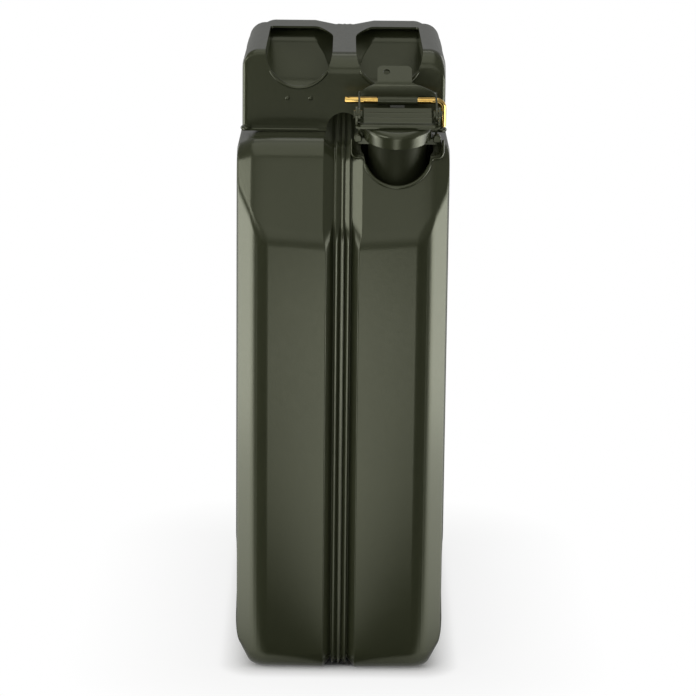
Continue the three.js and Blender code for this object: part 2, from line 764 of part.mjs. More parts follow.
function leverWeb() {
  const armTop = pivotZ + leverArmDepth / 2;
  const armRoot = armTop - leverArmDepth / 4;
  const sweepX = (armOuter + tabHalf) / 2;
  const sweepZ = tabBase - shoulderSweep;
  const web = new THREE.Shape();
  web.moveTo(-sleeveHalf, pivotZ + pinBore);
  web.lineTo(sleeveHalf, pivotZ + pinBore);
  web.lineTo(sleeveHalf, armTop);
  web.lineTo(armOuter, armRoot);
  web.lineTo(armOuter, armTop);
  web.quadraticCurveTo(sweepX, sweepZ, tabHalf, tabBase);
  web.lineTo(-tabHalf, tabBase);
  web.quadraticCurveTo(-sweepX, sweepZ, -armOuter, armTop);
  web.lineTo(-armOuter, armRoot);
  web.lineTo(-sleeveHalf, armTop);
  return plateAcrossY(web, webFront, webFront + leverSheet);
}

function thumbTab() {
  const outline = roundedRectangle(-tabHalf, tabHalf, 0, tabLength, [0, 0, tabRadius, tabRadius]);
  const hole = new THREE.Path().absarc(tabHoleX, tabLength - tabHoleIn, tabHoleRadius, 0, 2 * Math.PI, true);
  outline.holes.push(hole);
  const sheet = extruded(outline, leverSheet).rotateX(rad(tabSlope));
  return solid(sheet.translate(0, webFront + leverSheet / 4, tabBase - leverSheet));
}

function camLever() {
  const sleeve = barAlong("x", sleeveRadius, -sleeveHalf, sleeveHalf).translate(0, pinY, pivotZ);
  const pinWay = barAlong("x", pinBore, -armOuter - past, armOuter + past).translate(0, pinY, pivotZ);
  const pivot = barAlong("x", pivotBore, -armOuter - past, armOuter + past).translate(0, pivotY, pivotZ);
  return joined(leverArm(-armOuter), leverArm(armInner), leverWeb(), thumbTab(), sleeve)
    .subtract(pinWay)
    .subtract(pivot);
}

function leverRivet(side) {
  const from = side > 0 ? armInner - gap : -earOuter - gap;
  const to = side > 0 ? earOuter + gap : -armInner + gap;
  return headedPin(pivotRivetRadius, pivotHeadRadius, from, to).translate(0, pivotY, pivotZ);
}

function lockingPin() {
  const level = (x) => new THREE.Vector3(x, pinY, pivotZ);
  const bendStart = level(pinRight - pinBend);
  const bendEnd = new THREE.Vector3(pinRight, pinY, pivotZ - pinBend);
  const extrudePath = new THREE.CurvePath();
  extrudePath.add(new THREE.LineCurve3(level(pinLeft), bendStart));
  extrudePath.add(new THREE.QuadraticBezierCurve3(bendStart, level(pinRight), bendEnd));
  extrudePath.add(new THREE.LineCurve3(bendEnd, new THREE.Vector3(pinRight, pinY, pivotZ - pinLeg)));
  const section = new THREE.Shape().absarc(0, 0, pinRadius, 0, 2 * Math.PI);
  const options = { steps: pinSteps, curveSegments: tubeSides / 2, extrudePath, bevelEnabled: false };
  const hole = barAlong("z", pinHoleRadius, -pinRadius - past, pinRadius + past);
  return solid(new THREE.ExtrudeGeometry(section, options))
    .subtract(hole.translate(pinLeft + pinRadius, pinY, pivotZ));
}

// Assembly
const can = new THREE.Group();
const left = piece("left_shell", leftShell(), paint);
left.scale.x = -1;
can.add(left, piece("right_shell", rightShell(), paint), piece("handle_unit", handleUnit(), paint));
can.add(piece("breather_tube", breatherTube(), bareSteel));

const spout = new THREE.Group();
spout.position.set(spoutX, spoutY, spoutHeight);
spout.rotation.x = rad(spoutTilt);
spout.add(
  piece("filler_neck", fillerNeck(), paint),
  piece("hinge_bracket", hingeBracket(), paint),
  piece("hinge_pin", hingePin(), bareSteel),
  piece("catch_lug_left", catchLug(-1), paint),
  piece("catch_lug_right", catchLug(1), paint),
  piece("lid_dish", lidDish(), paint),
  piece("lid_gasket", lidGasket(), rubber),
  piece("gasket_retainer", gasketRetainer(), bareSteel),
  piece("lid_rivet", lidRivet(), bareSteel),
  piece("clamp_strap", clampStrap(), paint),
  piece("cam_lever", camLever(), paint),
  piece("lever_rivet_left", leverRivet(-1), bareSteel),
  piece("lever_rivet_right", leverRivet(1), bareSteel),
  piece("locking_pin", lockingPin(), plated),
);
can.add(spout);

export default can;
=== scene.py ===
import math

import bmesh
import bpy
import numpy as np
from bpy.props import FloatProperty, FloatVectorProperty, PointerProperty
from mathutils import Matrix, Vector


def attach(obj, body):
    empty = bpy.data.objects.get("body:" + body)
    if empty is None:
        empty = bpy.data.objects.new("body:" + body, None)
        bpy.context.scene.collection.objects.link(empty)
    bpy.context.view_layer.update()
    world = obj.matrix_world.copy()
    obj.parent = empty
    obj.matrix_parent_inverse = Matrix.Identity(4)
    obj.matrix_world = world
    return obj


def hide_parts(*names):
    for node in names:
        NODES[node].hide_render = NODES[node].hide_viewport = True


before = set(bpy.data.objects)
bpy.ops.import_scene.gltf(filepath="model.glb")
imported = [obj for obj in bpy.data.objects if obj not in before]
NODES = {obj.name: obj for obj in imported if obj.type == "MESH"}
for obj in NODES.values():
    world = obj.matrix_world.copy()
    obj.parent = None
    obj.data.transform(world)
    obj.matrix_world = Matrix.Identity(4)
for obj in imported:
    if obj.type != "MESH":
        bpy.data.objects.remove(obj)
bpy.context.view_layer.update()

bl_info = {
    "name": "Pressed steel jerry can",
    "version": (1, 0, 0),
    "blender": (4, 5, 0),
    "location": "View3D > Sidebar > Jerry can",
    "description": "Dresses the packed can with pressed shells, a bar handle and a cam-lever closure",
    "category": "Object",
}

MM = 0.001
# Metres within which two points are one: in a new form, and after a rounding
SAME_POINT, SAME_CORNER = 1e-7, 1e-5
# Degrees: edges that turn more are rounded, and edges that still turn more are shaded sharp
ROUND_FROM, SHARP_FROM = 38, 40

# Sizes in millimetres that no user would change. Most repeat those of the solids.
GAP = 0.3
SHEET = 1.2
SADDLE = 414.0
HUMP = 473.1
HUMP_FRONT = 50.0
HALF_LENGTH = 172.5
HALF_WIDTH = 80.0
BEVEL_INSET = 16.0
LEAN, LEAN_HEIGHT = 22.0, 74.0
POCKET, LOBE_FLOOR, SCOOP_HALF, SCOOP_DEPTH, ROOM_REACH = 27.5, 26.0, 25.0, 10.0, 33.5
SPOUT = np.array([40.5, -132.0, 381.0])
SPOUT_TILT = math.radians(17)
HANDLE_FRONT, HANDLE_REAR, HANDLE_FOOT = -106.0, 68.0, 414.3
BAR_LOW, BAR_HIGH = 463.3, 475.0
HANDLE_HALF, HANDLE_SHEET = 77.6, 1.6
WINDOW_DEPTH = 28.0
CENTRE_BAR, OUTER_BAR, PLATE_REAR, SLOT_REAR, CROSS_FRONT = 9.0, 60.0, -90.0, 43.0, -2.0
NECK, NECK_BORE, NECK_LOW, NECK_HEIGHT, RIM, RIM_LOW = 22.0, 20.5, -12.0, 45.0, 23.5, 41.0
FLANGE, FLANGE_TOP, FLANGE_WELD, FLARE_LOW = 26.0, 1.8, 3.3, 39.5
LID, LID_LOW, LID_TOP, LID_SHEET, LID_HOLE = 26.0, 37.0, 49.0, 1.4, 2.8
HINGE_Y, HINGE_Z, KNUCKLE, BARREL = 30.0, 40.0, 5.4, 3.5
STRAP_LOW, STRAP_SHEET, STRAP_HALF, STRAP_FRONT = 49.3, 1.5, 25.5, -16.0
RIB_PITCH, RIB_HEIGHT, RIBS = 8.3, 2.6, 3
RIVET_FOOT, RIVET_TOP, RIVET_HEAD, RIVET_SHANK = 41.7, 50.2, 5.0, 2.5
EAR_OUTER, EAR_RADIUS = 31.7, 6.0
PIVOT_Y, PIVOT_Z, PIN_Y, PIVOT_HOLE = -6.0, 56.5, 19.0, 2.1
ARM_OUTER, ARM_INNER, ARM_HALF, ARM_SHEET = 29.7, 28.2, 5.5, 1.5
HOOK_FRONT, HOOK_REAR, HOOK_DROP = -3.9, 1.6, 26.5
SLEEVE_HALF, SLEEVE, PIN_WAY = 15.0, 3.75, 2.8
PIN, PIN_TIP, PIN_BEND, PIN_CORNER, PIN_DROP = 2.5, -39.7, 34.5, 6.0, 21.0
PIN_EYE, PIN_EYE_X, PIN_ROUND = 0.9, -36.9, 0.5
TAB_HALF, TAB_LENGTH, TAB_RISE, TAB_ASIDE, TAB_CORNER = 13.0, 16.5, 14.5, -2.4, 4.0
TAB_HOLE, TAB_HOLE_X, TAB_HOLE_INSET = 2.6, -8.4, 6.2
TAB_SLOPE, TAB_BEND = math.radians(23.4), 3.0
# Over the pivot: the foot of the lever's web, and where it begins to narrow, by a power of its height
WEB_FOOT, WEB_NARROWS, WEB_POWER = 2.9, 4.0, 1.6
LUG_LOW, LUG_TOP, LUG_FRONT, LUG_INNER, LUG_OUTER, LUG_SHEET = 29.0, 41.0, -6.0, 26.6, 32.7, 1.5
LEG_TOP, CAP_LOW, CAP_DEPTH, CAP_ROUND = 36.6, 34.6, 3.0, 1.4
# How far cutting tools reach past the pocket and across the closure
PAST_POCKET, ACROSS = 78.0, 40.0


class CanSizes(bpy.types.PropertyGroup):
    """Sizes of the dressed can that may be tuned by hand"""

    edge_round: FloatProperty(
        name="Edge rounding",
        description="Radius on the cut edges of sheet pieces",
        default=0.45 * MM,
        unit="LENGTH",
    )
    lip_round: FloatProperty(
        name="Lip rounding",
        description="Radius on the handle's pressed lips",
        default=2.4 * MM,
        unit="LENGTH",
    )
    cross_depth: FloatProperty(
        name="Pressing depth",
        description="Depth of the crossed pressing in the flat sides",
        default=5.0 * MM,
        unit="LENGTH",
    )
    handle_dip: FloatProperty(
        name="Handle dip",
        description="How far the handle's top sags over the seam",
        default=3.0 * MM,
        unit="LENGTH",
    )


class CanColours(bpy.types.PropertyGroup):
    """Colours of the finishes, as sRGB values that are turned to linear"""

    enamel: FloatVectorProperty(
        name="Enamel",
        description="Olive green paint",
        subtype="COLOR_GAMMA",
        default=(0x34 / 255, 0x37 / 255, 0x26 / 255),
    )
    zinc: FloatVectorProperty(
        name="Yellow zinc",
        description="Plating of the locking pin",
        subtype="COLOR_GAMMA",
        default=(0xE6 / 255, 0xC2 / 255, 0x72 / 255),
    )


def linear(hex_colour):
    """The linear RGBA of an sRGB hex value"""
    parts = [int(hex_colour[i : i + 2], 16) / 255 for i in (0, 2, 4)]
    return (*[c / 12.92 if c <= 0.04045 else ((c + 0.055) / 1.055) ** 2.4 for c in parts], 1.0)


def linear_of(gamma_colour):
    """The linear RGBA of an sRGB triple"""
    return linear("".join("%02x" % round(255 * c) for c in gamma_colour))


# Meshes


def grid_faces(rows, columns, closed=True):
    """Quads between neighbours of a grid numbered row by row; closed joins the last column to the first"""
    index = np.arange(rows * columns).reshape(rows, columns)
    following = np.roll(index, -1, axis=1)
    if not closed:
        index, following = index[:, :-1], index[:, 1:]
    return np.stack([index[:-1], following[:-1], following[1:], index[1:]], -1).reshape(-1, 4).tolist()


def tube_faces(rows, columns):
    """Quads round a tube of rings, and a face over each of its ends"""
    last = (rows - 1) * columns
    return grid_faces(rows, columns) + [list(range(columns)), list(range(last, last + columns))]


def eased(part):
    """A smooth step: 3 p^2 - 2 p^3 as p goes from 0 to 1, level before and after"""
    part = np.clip(part, 0, 1)
    return part * part * (3 - 2 * part)


def mend(mesh, distance, outwards=False):
    """Merges a mesh's doubles, drops what has no size and, if asked, turns its faces outwards"""
    work = bmesh.new()
    work.from_mesh(mesh)
    bmesh.ops.remove_doubles(work, verts=work.verts, dist=distance)
    bmesh.ops.dissolve_degenerate(work, edges=work.edges, dist=distance)
    if outwards:
        bmesh.ops.recalc_face_normals(work, faces=work.faces)
    work.to_mesh(mesh)
    work.free()


def form(points, faces):
    """A mesh object from points in millimetres, with doubles merged and its faces turned outwards"""
    mesh = bpy.data.meshes.new("form")
    mesh.from_pydata((np.asarray(points).reshape(-1, 3) * MM).tolist(), [], faces)
    mend(mesh, SAME_POINT, outwards=True)
    made = bpy.data.objects.new("form", mesh)
    bpy.context.scene.collection.objects.link(made)
    return made


def settle(made):
    """Bakes an object's modifiers into its mesh"""
    bpy.context.view_layer.update()
    graph = bpy.context.evaluated_depsgraph_get()
    mesh = bpy.data.meshes.new_from_object(made.evaluated_get(graph))
    made.modifiers.clear()
    made.data = mesh
    return made


def combined(operation, first, *others):
    """The union, difference or intersection of closed forms, which are used up"""
    for other in others:
        modifier = first.modifiers.new(operation, "BOOLEAN")
        modifier.operation = operation
        modifier.solver = "MANIFOLD"
        modifier.object = other
        settle(first)
        bpy.data.objects.remove(other)
    return first


def joined(first, *others):
    return combined("UNION", first, *others)


def cut(first, *others):
    return combined("DIFFERENCE", first, *others)


def common(first, *others):
    return combined("INTERSECT", first, *others)


def rounded(corners, radii, steps=8, closed=True):
    """A line through corners, each replaced by an arc of its radius that touches both of its sides"""
    corners = np.asarray(corners, float)
    radii = np.broadcast_to(np.asarray(radii, float), len(corners))
    runs = []
    for i, (corner, radius) in enumerate(zip(corners, radii)):
        at_end = not closed and i in (0, len(corners) - 1)
        if radius <= 0 or at_end:
            runs.append(corner[None])
            continue
        back = corners[i - 1] - corner
        ahead = corners[(i + 1) % len(corners)] - corner
        back = back / np.linalg.norm(back)
        ahead = ahead / np.linalg.norm(ahead)
        half = math.acos(np.clip(back @ ahead, -1, 1)) / 2
        middle = (back + ahead) / np.linalg.norm(back + ahead)
        centre = corner + middle * radius / math.sin(half)
        swing = np.linspace(half - math.pi / 2, math.pi / 2 - half, steps + 1)[:, None]
        across = back - (back @ middle) * middle
        across = across / np.linalg.norm(across)
        runs.append(centre - radius * (np.cos(swing) * middle + np.sin(swing) * across))
    return np.concatenate(runs)


def rectangle(u0, u1, v0, v1, radii=0.0, steps=8):
    """A rectangle with rounded corners, from low left, anticlockwise"""
    return rounded([(u0, v0), (u1, v0), (u1, v1), (u0, v1)], radii, steps)


def circle(radius, sides=48, centre=(0, 0)):
    turn = np.linspace(0, 2 * math.pi, sides, endpoint=False)
    return np.stack([centre[0] + radius * np.cos(turn), centre[1] + radius * np.sin(turn)], 1)


def prism(ring, low, high, axis):
    """A closed flat ring of (u, v) points carried straight along x, y or z"""
    u, v = np.asarray(ring).T
    layers = []
    for level in (low, high):
        w = np.full_like(u, level)
        layers.append(np.stack({"x": (w, u, v), "y": (u, w, v), "z": (u, v, w)}[axis], 1))
    return form(np.concatenate(layers), tube_faces(2, len(u)))


def rod(radius, sides, place, half):
    """A cylinder along x, as long on either side of x = 0, at a (y, z) place"""
    return prism(circle(radius, sides, place), -half, half, "x")


def box(x0, x1, y0, y1, z0, z1):
    return prism(rectangle(x0, x1, y0, y1), z0, z1, "z")


def turned(profile, sides=96):
    """A closed profile of (radius, z) points carried round the z axis"""
    radius, height = np.asarray(profile).T
    turn = np.linspace(0, 2 * math.pi, sides, endpoint=False)[:, None]
    points = np.stack([radius * np.cos(turn), radius * np.sin(turn), height + 0 * turn], -1)
    faces = grid_faces(sides + 1, len(radius))
    points = np.concatenate([points, points[:1]])
    return form(points, faces)


def swept(ring, path, side, size=1.0):
    """A closed ring of (u, v) points carried along a flat path whose plane has the normal `side`, and
    scaled by `size`, which may differ from point to point"""
    path = np.asarray(path, float)
    ahead = np.gradient(path, axis=0)
    ahead = ahead / np.linalg.norm(ahead, axis=1)[:, None]
    side = np.asarray(side, float)
    over = np.cross(side, ahead)
    scaled = np.asarray(ring)[None] * np.broadcast_to(size, len(path))[:, None, None]
    u, v = scaled[..., :1], scaled[..., 1:]
    points = path[:, None] + u * side + v * over[:, None]
    return form(points, tube_faces(*points.shape[:2]))


def tapered(count):
    """Sizes along a bead that swells from a tip over its first tenth and thins out over its last"""
    end, tip = 0.1, 0.02
    part = np.linspace(0, 1, count)
    share = np.clip(np.minimum(part, 1 - part) / end, tip, 1)
    return np.sqrt(share * (2 - share))


def lump(centre, radii):
    """An ellipsoid: circles whose radius is the cosine of their latitude"""
    circles, sides = 13, 24
    rise = np.linspace(-math.pi / 2, math.pi / 2, circles)[:, None]
    turn = np.linspace(0, 2 * math.pi, sides, endpoint=False)
    points = [np.cos(rise) * np.cos(turn), np.cos(rise) * np.sin(turn), np.sin(rise) + 0 * turn]
    return form(np.stack(points, -1) * radii + centre, grid_faces(circles, sides))


def on_spout(made):
    """Moves a form from the spout's own frame to the can's"""
    place = Matrix.Translation(Vector(SPOUT * MM)) @ Matrix.Rotation(SPOUT_TILT, 4, "X")
    made.data.transform(place)
    return made


def moved(made, x=0.0, y=0.0, z=0.0):
    made.data.transform(Matrix.Translation(Vector((x * MM, y * MM, z * MM))))
    return made


def mirrored(made):
    """The same form reflected in the seam plane, with its faces turned outwards again"""
    made.data.transform(Matrix.Diagonal((-1, 1, 1, 1)))
    made.data.flip_normals()
    return made


def edge_turns(mesh):
    """Angle between the two faces at each edge, and the edges' middles in millimetres, as arrays"""
    work = bmesh.new()
    work.from_mesh(mesh)
    turns = np.array([edge.calc_face_angle(0.0) for edge in work.edges])
    middles = np.array([(edge.verts[0].co + edge.verts[1].co) / 2 for edge in work.edges]) / MM
    work.free()
    return turns, middles


def soften(made, width, segments=3, chosen=None, merge=True):
    """Rounds the edges that turn sharply; `chosen` picks them by their middles, and `merge` closes up what
    the rounding had no room for"""
    turns, middles = edge_turns(made.data)
    weights = (turns > math.radians(ROUND_FROM)).astype(np.float32)
    if chosen is not None:
        weights *= chosen(middles)
    layer = made.data.attributes.get("bevel_weight_edge")
    if layer is None:
        layer = made.data.attributes.new("bevel_weight_edge", "FLOAT", "EDGE")
    layer.data.foreach_set("value", weights)
    modifier = made.modifiers.new("rounding", "BEVEL")
    modifier.limit_method = "WEIGHT"
    modifier.width = width
    modifier.segments = segments
    modifier.use_clamp_overlap = True
    modifier.miter_outer = "MITER_ARC"
    settle(made)
    left = made.data.attributes.get("bevel_weight_edge")
    if left is not None:
        made.data.attributes.remove(left)
    if merge:
        mend(made.data, SAME_CORNER)
    return made


def dress(made, name, body, slot, finish, *nodes):
    """Finishes a form as a piece of the can: name, shading, finish, body, and the nodes it stands in for,
    hidden. The slot is not used.
    """
    made.name = name
    mesh = made.data
    mesh.name = name
    mesh.polygons.foreach_set("use_smooth", np.ones(len(mesh.polygons), bool))
    mesh.set_sharp_from_angle(angle=math.radians(SHARP_FROM))
    mesh.materials.clear()
    mesh.materials.append(finish_of(finish))
    weighted = made.modifiers.new("even shading", "WEIGHTED_NORMAL")
    weighted.keep_sharp = True
    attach(made, body)
    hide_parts(*nodes)


# Materials

RANGE = ("From Min", "From Max", "To Min", "To Max")


def add(tree, kind, settings=None, **links):
    """Adds a node, sets its properties, sockets and colour stops, and links its sockets, given by name or by
    i and a number, to outputs or to the first output of a node"""
    node = tree.nodes.new(kind)
    for name, value in (settings or {}).items():
        if name == "stops":
            elements = node.color_ramp.elements
            while len(elements) < len(value):
                elements.new(0.5)
            for element, (position, colour) in zip(elements, value):
                element.position = position
                element.color = (*colour[:3], 1)
        elif isinstance(name, str) and hasattr(node, name):
            setattr(node, name, value)
        else:
            node.inputs[name].default_value = value
    for name, source in links.items():
        key = int(name[1:]) if name[0] == "i" and name[1:].isdigit() else name.replace("_", " ")
        tree.links.new(getattr(source, "outputs", [source])[0], node.inputs[key])
    return node


def mottled(name, settings, tone, gloss, relief=None):
    """A finish on Object coordinates whose tone, roughness and relief each follow a noise of their own. A
    noise comes as (repeats per metre, detail), followed by the tone's colour stops, the range from noise to
    roughness, or the relief's strength and depth in metres"""
    material = bpy.data.materials.new(name)
    material.use_nodes = True
    tree = material.node_tree
    shader = tree.nodes["Principled BSDF"]
    for key, value in settings.items():
        shader.inputs[key].default_value = value
    place = add(tree, "ShaderNodeTexCoord").outputs["Object"]
    noises = []
    for repeats, detail in [part[0] for part in (tone, gloss, relief) if part]:
        noises.append(add(tree, "ShaderNodeTexNoise", {"Scale": repeats, "Detail": detail}, Vector=place))
    colour = add(tree, "ShaderNodeValToRGB", {"stops": tone[1]}, Fac=noises[0])
    tree.links.new(colour.outputs["Color"], shader.inputs["Base Color"])
    rough = add(tree, "ShaderNodeMapRange", dict(zip(RANGE, gloss[1])), Value=noises[1])
    tree.links.new(rough.outputs["Result"], shader.inputs["Roughness"])
    if relief:
        strength, depth = relief[1]
        bump = add(tree, "ShaderNodeBump", {"Strength": strength, "Distance": depth}, Height=noises[2])
        tree.links.new(bump.outputs["Normal"], shader.inputs["Normal"])
    return material


def enamel_on_steel(name="baked_olive_enamel", depth=1.0, roughness=(0.2, 0.25), specular=0.5):
    """Baked olive enamel on pressed steel: semi-gloss, with a fine orange peel and slow drifts of tone"""
    # a depth below 1 darkens the enamel's colour; the neck's 0.6 is painted shade of the pocket
    base = [depth * c for c in linear_of(bpy.context.scene.can_colours.enamel)]
    settings = {
        "Metallic": 0.0,
        "IOR": 1.55,
        "Specular IOR Level": specular,
        "Specular Tint": linear("fbffe2"),
    }
    # drifts of tone some 90 mm across, specks of gloss about 3 mm and orange peel about 1.6 mm across
    stops = [(0.3, [0.93 * c for c in base]), (0.7, [1.07 * c for c in base])]
    tone = (11.0, 3.0), stops
    gloss = (330.0, 2.0), (0.25, 0.75, *roughness)
    return mottled(name, settings, tone, gloss, ((620.0, 1.0), (0.06, 0.0004)))


def shaded_dull_enamel():
    """The same enamel where it was sprayed from afar, deep in the pocket: thin and dull, with its colour
    darkened as painted shade of the pocket
    """
    return enamel_on_steel("dull_olive_enamel_with_painted_shade", 0.6, (0.42, 0.52), 0.15)


def yellow_zinc():
    """Zinc plating with a yellow passivation: bright metal whose tint wanders from straw to gold in 6 mm"""
    base = linear_of(bpy.context.scene.can_colours.zinc)
    stain = (160.0, 4.0)
    gold = [0.82 * base[0], 0.74 * base[1], 0.6 * base[2]]
    tone = stain, [(0.35, gold), (0.65, base)]
    return mottled("yellow_zinc_plating", {"Metallic": 1.0}, tone, (stain, (0.3, 0.7, 0.1, 0.2)))


def bright_zinc():
    """Bright zinc plating on rivets and tube: grey metal with a faint cloudiness about 8 mm across"""
    cloud = (120.0, 4.0)
    tone = cloud, [(0, linear("8c8d8a")), (1, linear("b4b4ae"))]
    return mottled("bright_zinc_plating", {"Metallic": 1.0}, tone, (cloud, (0, 1, 0.28, 0.45)))


def seal_rubber():
    """Moulded nitrile rubber: matt black with a fine grain about 1 mm across"""
    grain = (900.0, 2.0)
    tone = grain, [(0, linear("191918")), (1, linear("2a2a28"))]
    gloss, relief = (grain, (0, 1, 0.7, 0.9)), (grain, (0.2, 0.0003))
    return mottled("moulded_nitrile_rubber", {"Specular IOR Level": 0.4}, tone, gloss, relief)


def finish_of(name):
    """One of the can's finishes, made at its first use"""
    makers = {
        "baked_olive_enamel": enamel_on_steel,
        "dull_olive_enamel_with_painted_shade": shaded_dull_enamel,
        "yellow_zinc_plating": yellow_zinc,
        "bright_zinc_plating": bright_zinc,
        "moulded_nitrile_rubber": seal_rubber,
    }
    return bpy.data.materials.get(name) or makers[name]()


# Shells

# Corners of the outline seen from the side: y, z, radius, arc steps, and steps along the wall that follows
OUTLINE = np.array(
    [
        (-HALF_LENGTH, 0.0, 15.0, 10, 70),
        (HALF_LENGTH, 0.0, 15.0, 10, 80),
        (HALF_LENGTH, HUMP, 75.0, 26, 8),
        (HUMP_FRONT, HUMP, 16.0, 12, 3),
        (HUMP_FRONT - 14, SADDLE, 26.0, 12, 30),
        (LEAN - HALF_LENGTH, SADDLE, 20.0, 12, 14),
        (-HALF_LENGTH, SADDLE - LEAN_HEIGHT, 54.0, 14, 70),
    ]
)
# Base, rear, hump top, hump front, saddle, lean, front: inset of the bevel, and the power that rounds it
WALL_INSET = np.array([28.0, 16.0, 16.0, 6.0, 8.0, 4.2, 16.0])
WALL_CURVE = np.array([1.8, 1.0, 1.0, 1.2, 1.4, 1.5, 1.0])
# How far the panel of each wall falls away from the seam to the bevel
WALL_CROWN = np.array([0.0, 0.0, 0.0, 0.0, 0.0, 0.8, 1.9])
GROOVE_FOOT, GROOVE_HALF, BEVEL_START, BEVEL_END, SIDE_END = 5.9, 12.3, 63.6, 14.9, 17.5
# Share of the groove's depth on each wall, and the least depth of the weld in it, ground off on the hump
GROOVE_SHARE = np.array([1.0, 1.0, 0.4, 0.6, 1.0, 0.5, 1.0])
WELD_DEPTH = np.array([0.0, 0.0, 2.9, 4.0, 0.0, 0.0, 0.0])
# The seam's section as (x, depth), for the skin and for the plainer inner wall
RIDGE = [(0, 2.4), (0.9, 3.1), (1.0, 5.6), (1.3, 5.6), (4.9, 2.8), (5.5, 3.0), (GROOVE_FOOT, 7.6)]
RIDGE_RADII = [0, 0.15, 0.1, 0.12, 0.4, 0.25, 0.5, 1.2, 22, 7, 0]
INNER_RIDGE, INNER_RADII = [(0, 9), (5, 9)], [0, 0, 0, 6, 3, 0]
SECTION_STEPS = 12
# Between the groove and the bevel, and on the flat side
MID_PANEL, ON_FLAT = 30.0, 60.0
# The groove's widening on the leaning wall and on the hump, and the zones over which it grows
LEAN_WIDENING, LEAN_LOW, LEAN_RISE, LEAN_REAR, LEAN_RUN = 2.5, 326.0, 26.0, -100.0, 30.0
HUMP_WIDENING, HUMP_LOW, HUMP_RISE, HUMP_RUN = 12.0, 440.0, 25.0, 20.0
LEAST_RADIUS = 5.0
PANEL_CENTRE = np.array([12.0, 215.0])
PANEL_STEPS, INNER_STEPS = 78, 24
# The crossed pressing: angle, height of the crossing, reach, half width, radius of its ends, and its slopes
CROSS_ANGLE = math.radians(41)
CROSS_HEIGHT, CROSS_REACH, CROSS_HALF, CROSS_END = 205.0, 168.0, 22.0, 14.0
CROSS_LIP, CROSS_SLOPE, CROSS_SIDE, CROSS_LOW = 1.8, 9.0, 157.5, 29.0
# The pocket: corners and rear of its side rooms, and the flat at the foot of the scoop's U
ROOM_CORNER, ROOM_REAR, SCOOP_FLAT = 4.0, 9.0, 0.3
# The pocket's rim: its rounding, the zone that is rounded, and the offset and sides of the beads round it
RIM_ROUND, RIM_REACH, RIM_FLOOR, RIM_SIDE = 1.1, 46.0, 4.0, 36.0
BEAD_OFFSET, BEAD_SIDES = 0.9, 20
# The scoop's bead: radius, depth and swing. The rims of the side rooms: radius, depth, start and rise
BEAD, BEAD_SINK, BEAD_SWING = 1.5, 0.2, math.radians(76)
ROOM_RIM, ROOM_RIM_SINK, ROOM_RIM_START, ROOM_RIM_RISE = 1.1, 2.4, 0.76, 13.0


def cross2(a, b):
    return a[..., 0] * b[..., 1] - a[..., 1] * b[..., 0]


def outline_rings(seam_inset, share):
    """Rings of (y, z): the outline's walls moved in by the seam's inset, which may differ from wall to
    wall, and by their share of the bevel, with arcs at the corners whose radii shrink by the inset"""
    corners = OUTLINE[:, :2]
    ahead = np.roll(corners, -1, 0) - corners
    ahead = ahead / np.linalg.norm(ahead, axis=1)[:, None]
    inward = np.stack([-ahead[:, 1], ahead[:, 0]], 1)
    inset = seam_inset + WALL_INSET * share[:, None] ** WALL_CURVE
    start = corners + inward * inset[..., None]
    before, before_inward = np.roll(ahead, 1, 0), np.roll(inward, 1, 0)
    before_start, before_inset = np.roll(start, 1, 1), np.roll(inset, 1, 1)
    along = cross2(start - before_start, ahead) / cross2(before, ahead)
    tip = before_start + before * along[..., None]
    turn = np.arcsin(np.clip(cross2(before, ahead), -1, 1))
    side = np.sign(turn)
    radius = np.maximum(OUTLINE[:, 2] - side * np.minimum(inset, before_inset), LEAST_RADIUS)
    arc_start = tip - before * (radius * np.tan(np.abs(turn) / 2))[..., None]
    centre = arc_start + before_inward * (side * radius)[..., None]
    arcs = []
    for i in range(len(corners)):
        angle = turn[i] * np.linspace(0, 1, int(OUTLINE[i, 3]) + 1)[:, None]
        spoke = (arc_start[:, i] - centre[:, i])[:, None]
        swung = np.stack([-spoke[..., 1], spoke[..., 0]], -1)
        arcs.append(centre[:, i][:, None] + np.cos(angle) * spoke + np.sin(angle) * swung)
    runs = []
    for i, arc in enumerate(arcs):
        part = np.linspace(0, 1, int(OUTLINE[i, 4]) + 1)[1:-1, None]
        beyond = arcs[(i + 1) % len(arcs)][:, :1]
        runs += [arc, arc[:, -1:] * (1 - part) + beyond * part]
    return np.concatenate(runs, 1)


def cross_depth(y, z):
    """Depth of the crossed pressing: two channels with sloped sides and round high ends, the deeper wins"""
    depth = bpy.context.scene.can_sizes.cross_depth / MM
    cos, sin = math.cos(CROSS_ANGLE), math.sin(CROSS_ANGLE)
    deepest = np.zeros_like(y)
    for lean in (1, -1):
        along = lean * y * cos + (z - CROSS_HEIGHT) * sin
        aside = np.abs(-lean * y * sin + (z - CROSS_HEIGHT) * cos)
        over = np.maximum(along - CROSS_REACH + CROSS_END, 0)
        corner = np.hypot(over, np.maximum(aside - (CROSS_HALF - CROSS_END), 0)) - CROSS_END
        edge = np.where(over > 0, np.maximum(corner, aside - CROSS_HALF), aside - CROSS_HALF)
        deepest = np.maximum(deepest, depth * eased((CROSS_LIP - edge) / CROSS_SLOPE))
    sides = np.clip((CROSS_SIDE - np.abs(y)) / CROSS_SLOPE, 0, 1)
    return deepest * eased(sides * np.clip((z - CROSS_LOW) / CROSS_SLOPE, 0, 1))


def groove_width(x, y, z):
    """How far the seam's groove widens, by smooth steps: on the leaning wall and on the hump"""
    climb = eased((z - LEAN_LOW) / LEAN_RISE) * np.clip((LEAN_REAR - y) / LEAN_RUN, 0, 1)
    behind = np.clip((y - HUMP_FRONT + HUMP_RUN) / HUMP_RUN, 0, 1)
    crest = eased(np.clip((z - HUMP_LOW) / HUMP_RISE, 0, 1) * behind)
    flank = np.clip((x - GROOVE_FOOT) / (GROOVE_HALF - GROOVE_FOOT), 0, 1)
    panel = np.clip((BEVEL_START - x) / (BEVEL_START - GROOVE_HALF), 0, 1)
    return (LEAN_WIDENING * climb + HUMP_WIDENING * crest) * flank * panel


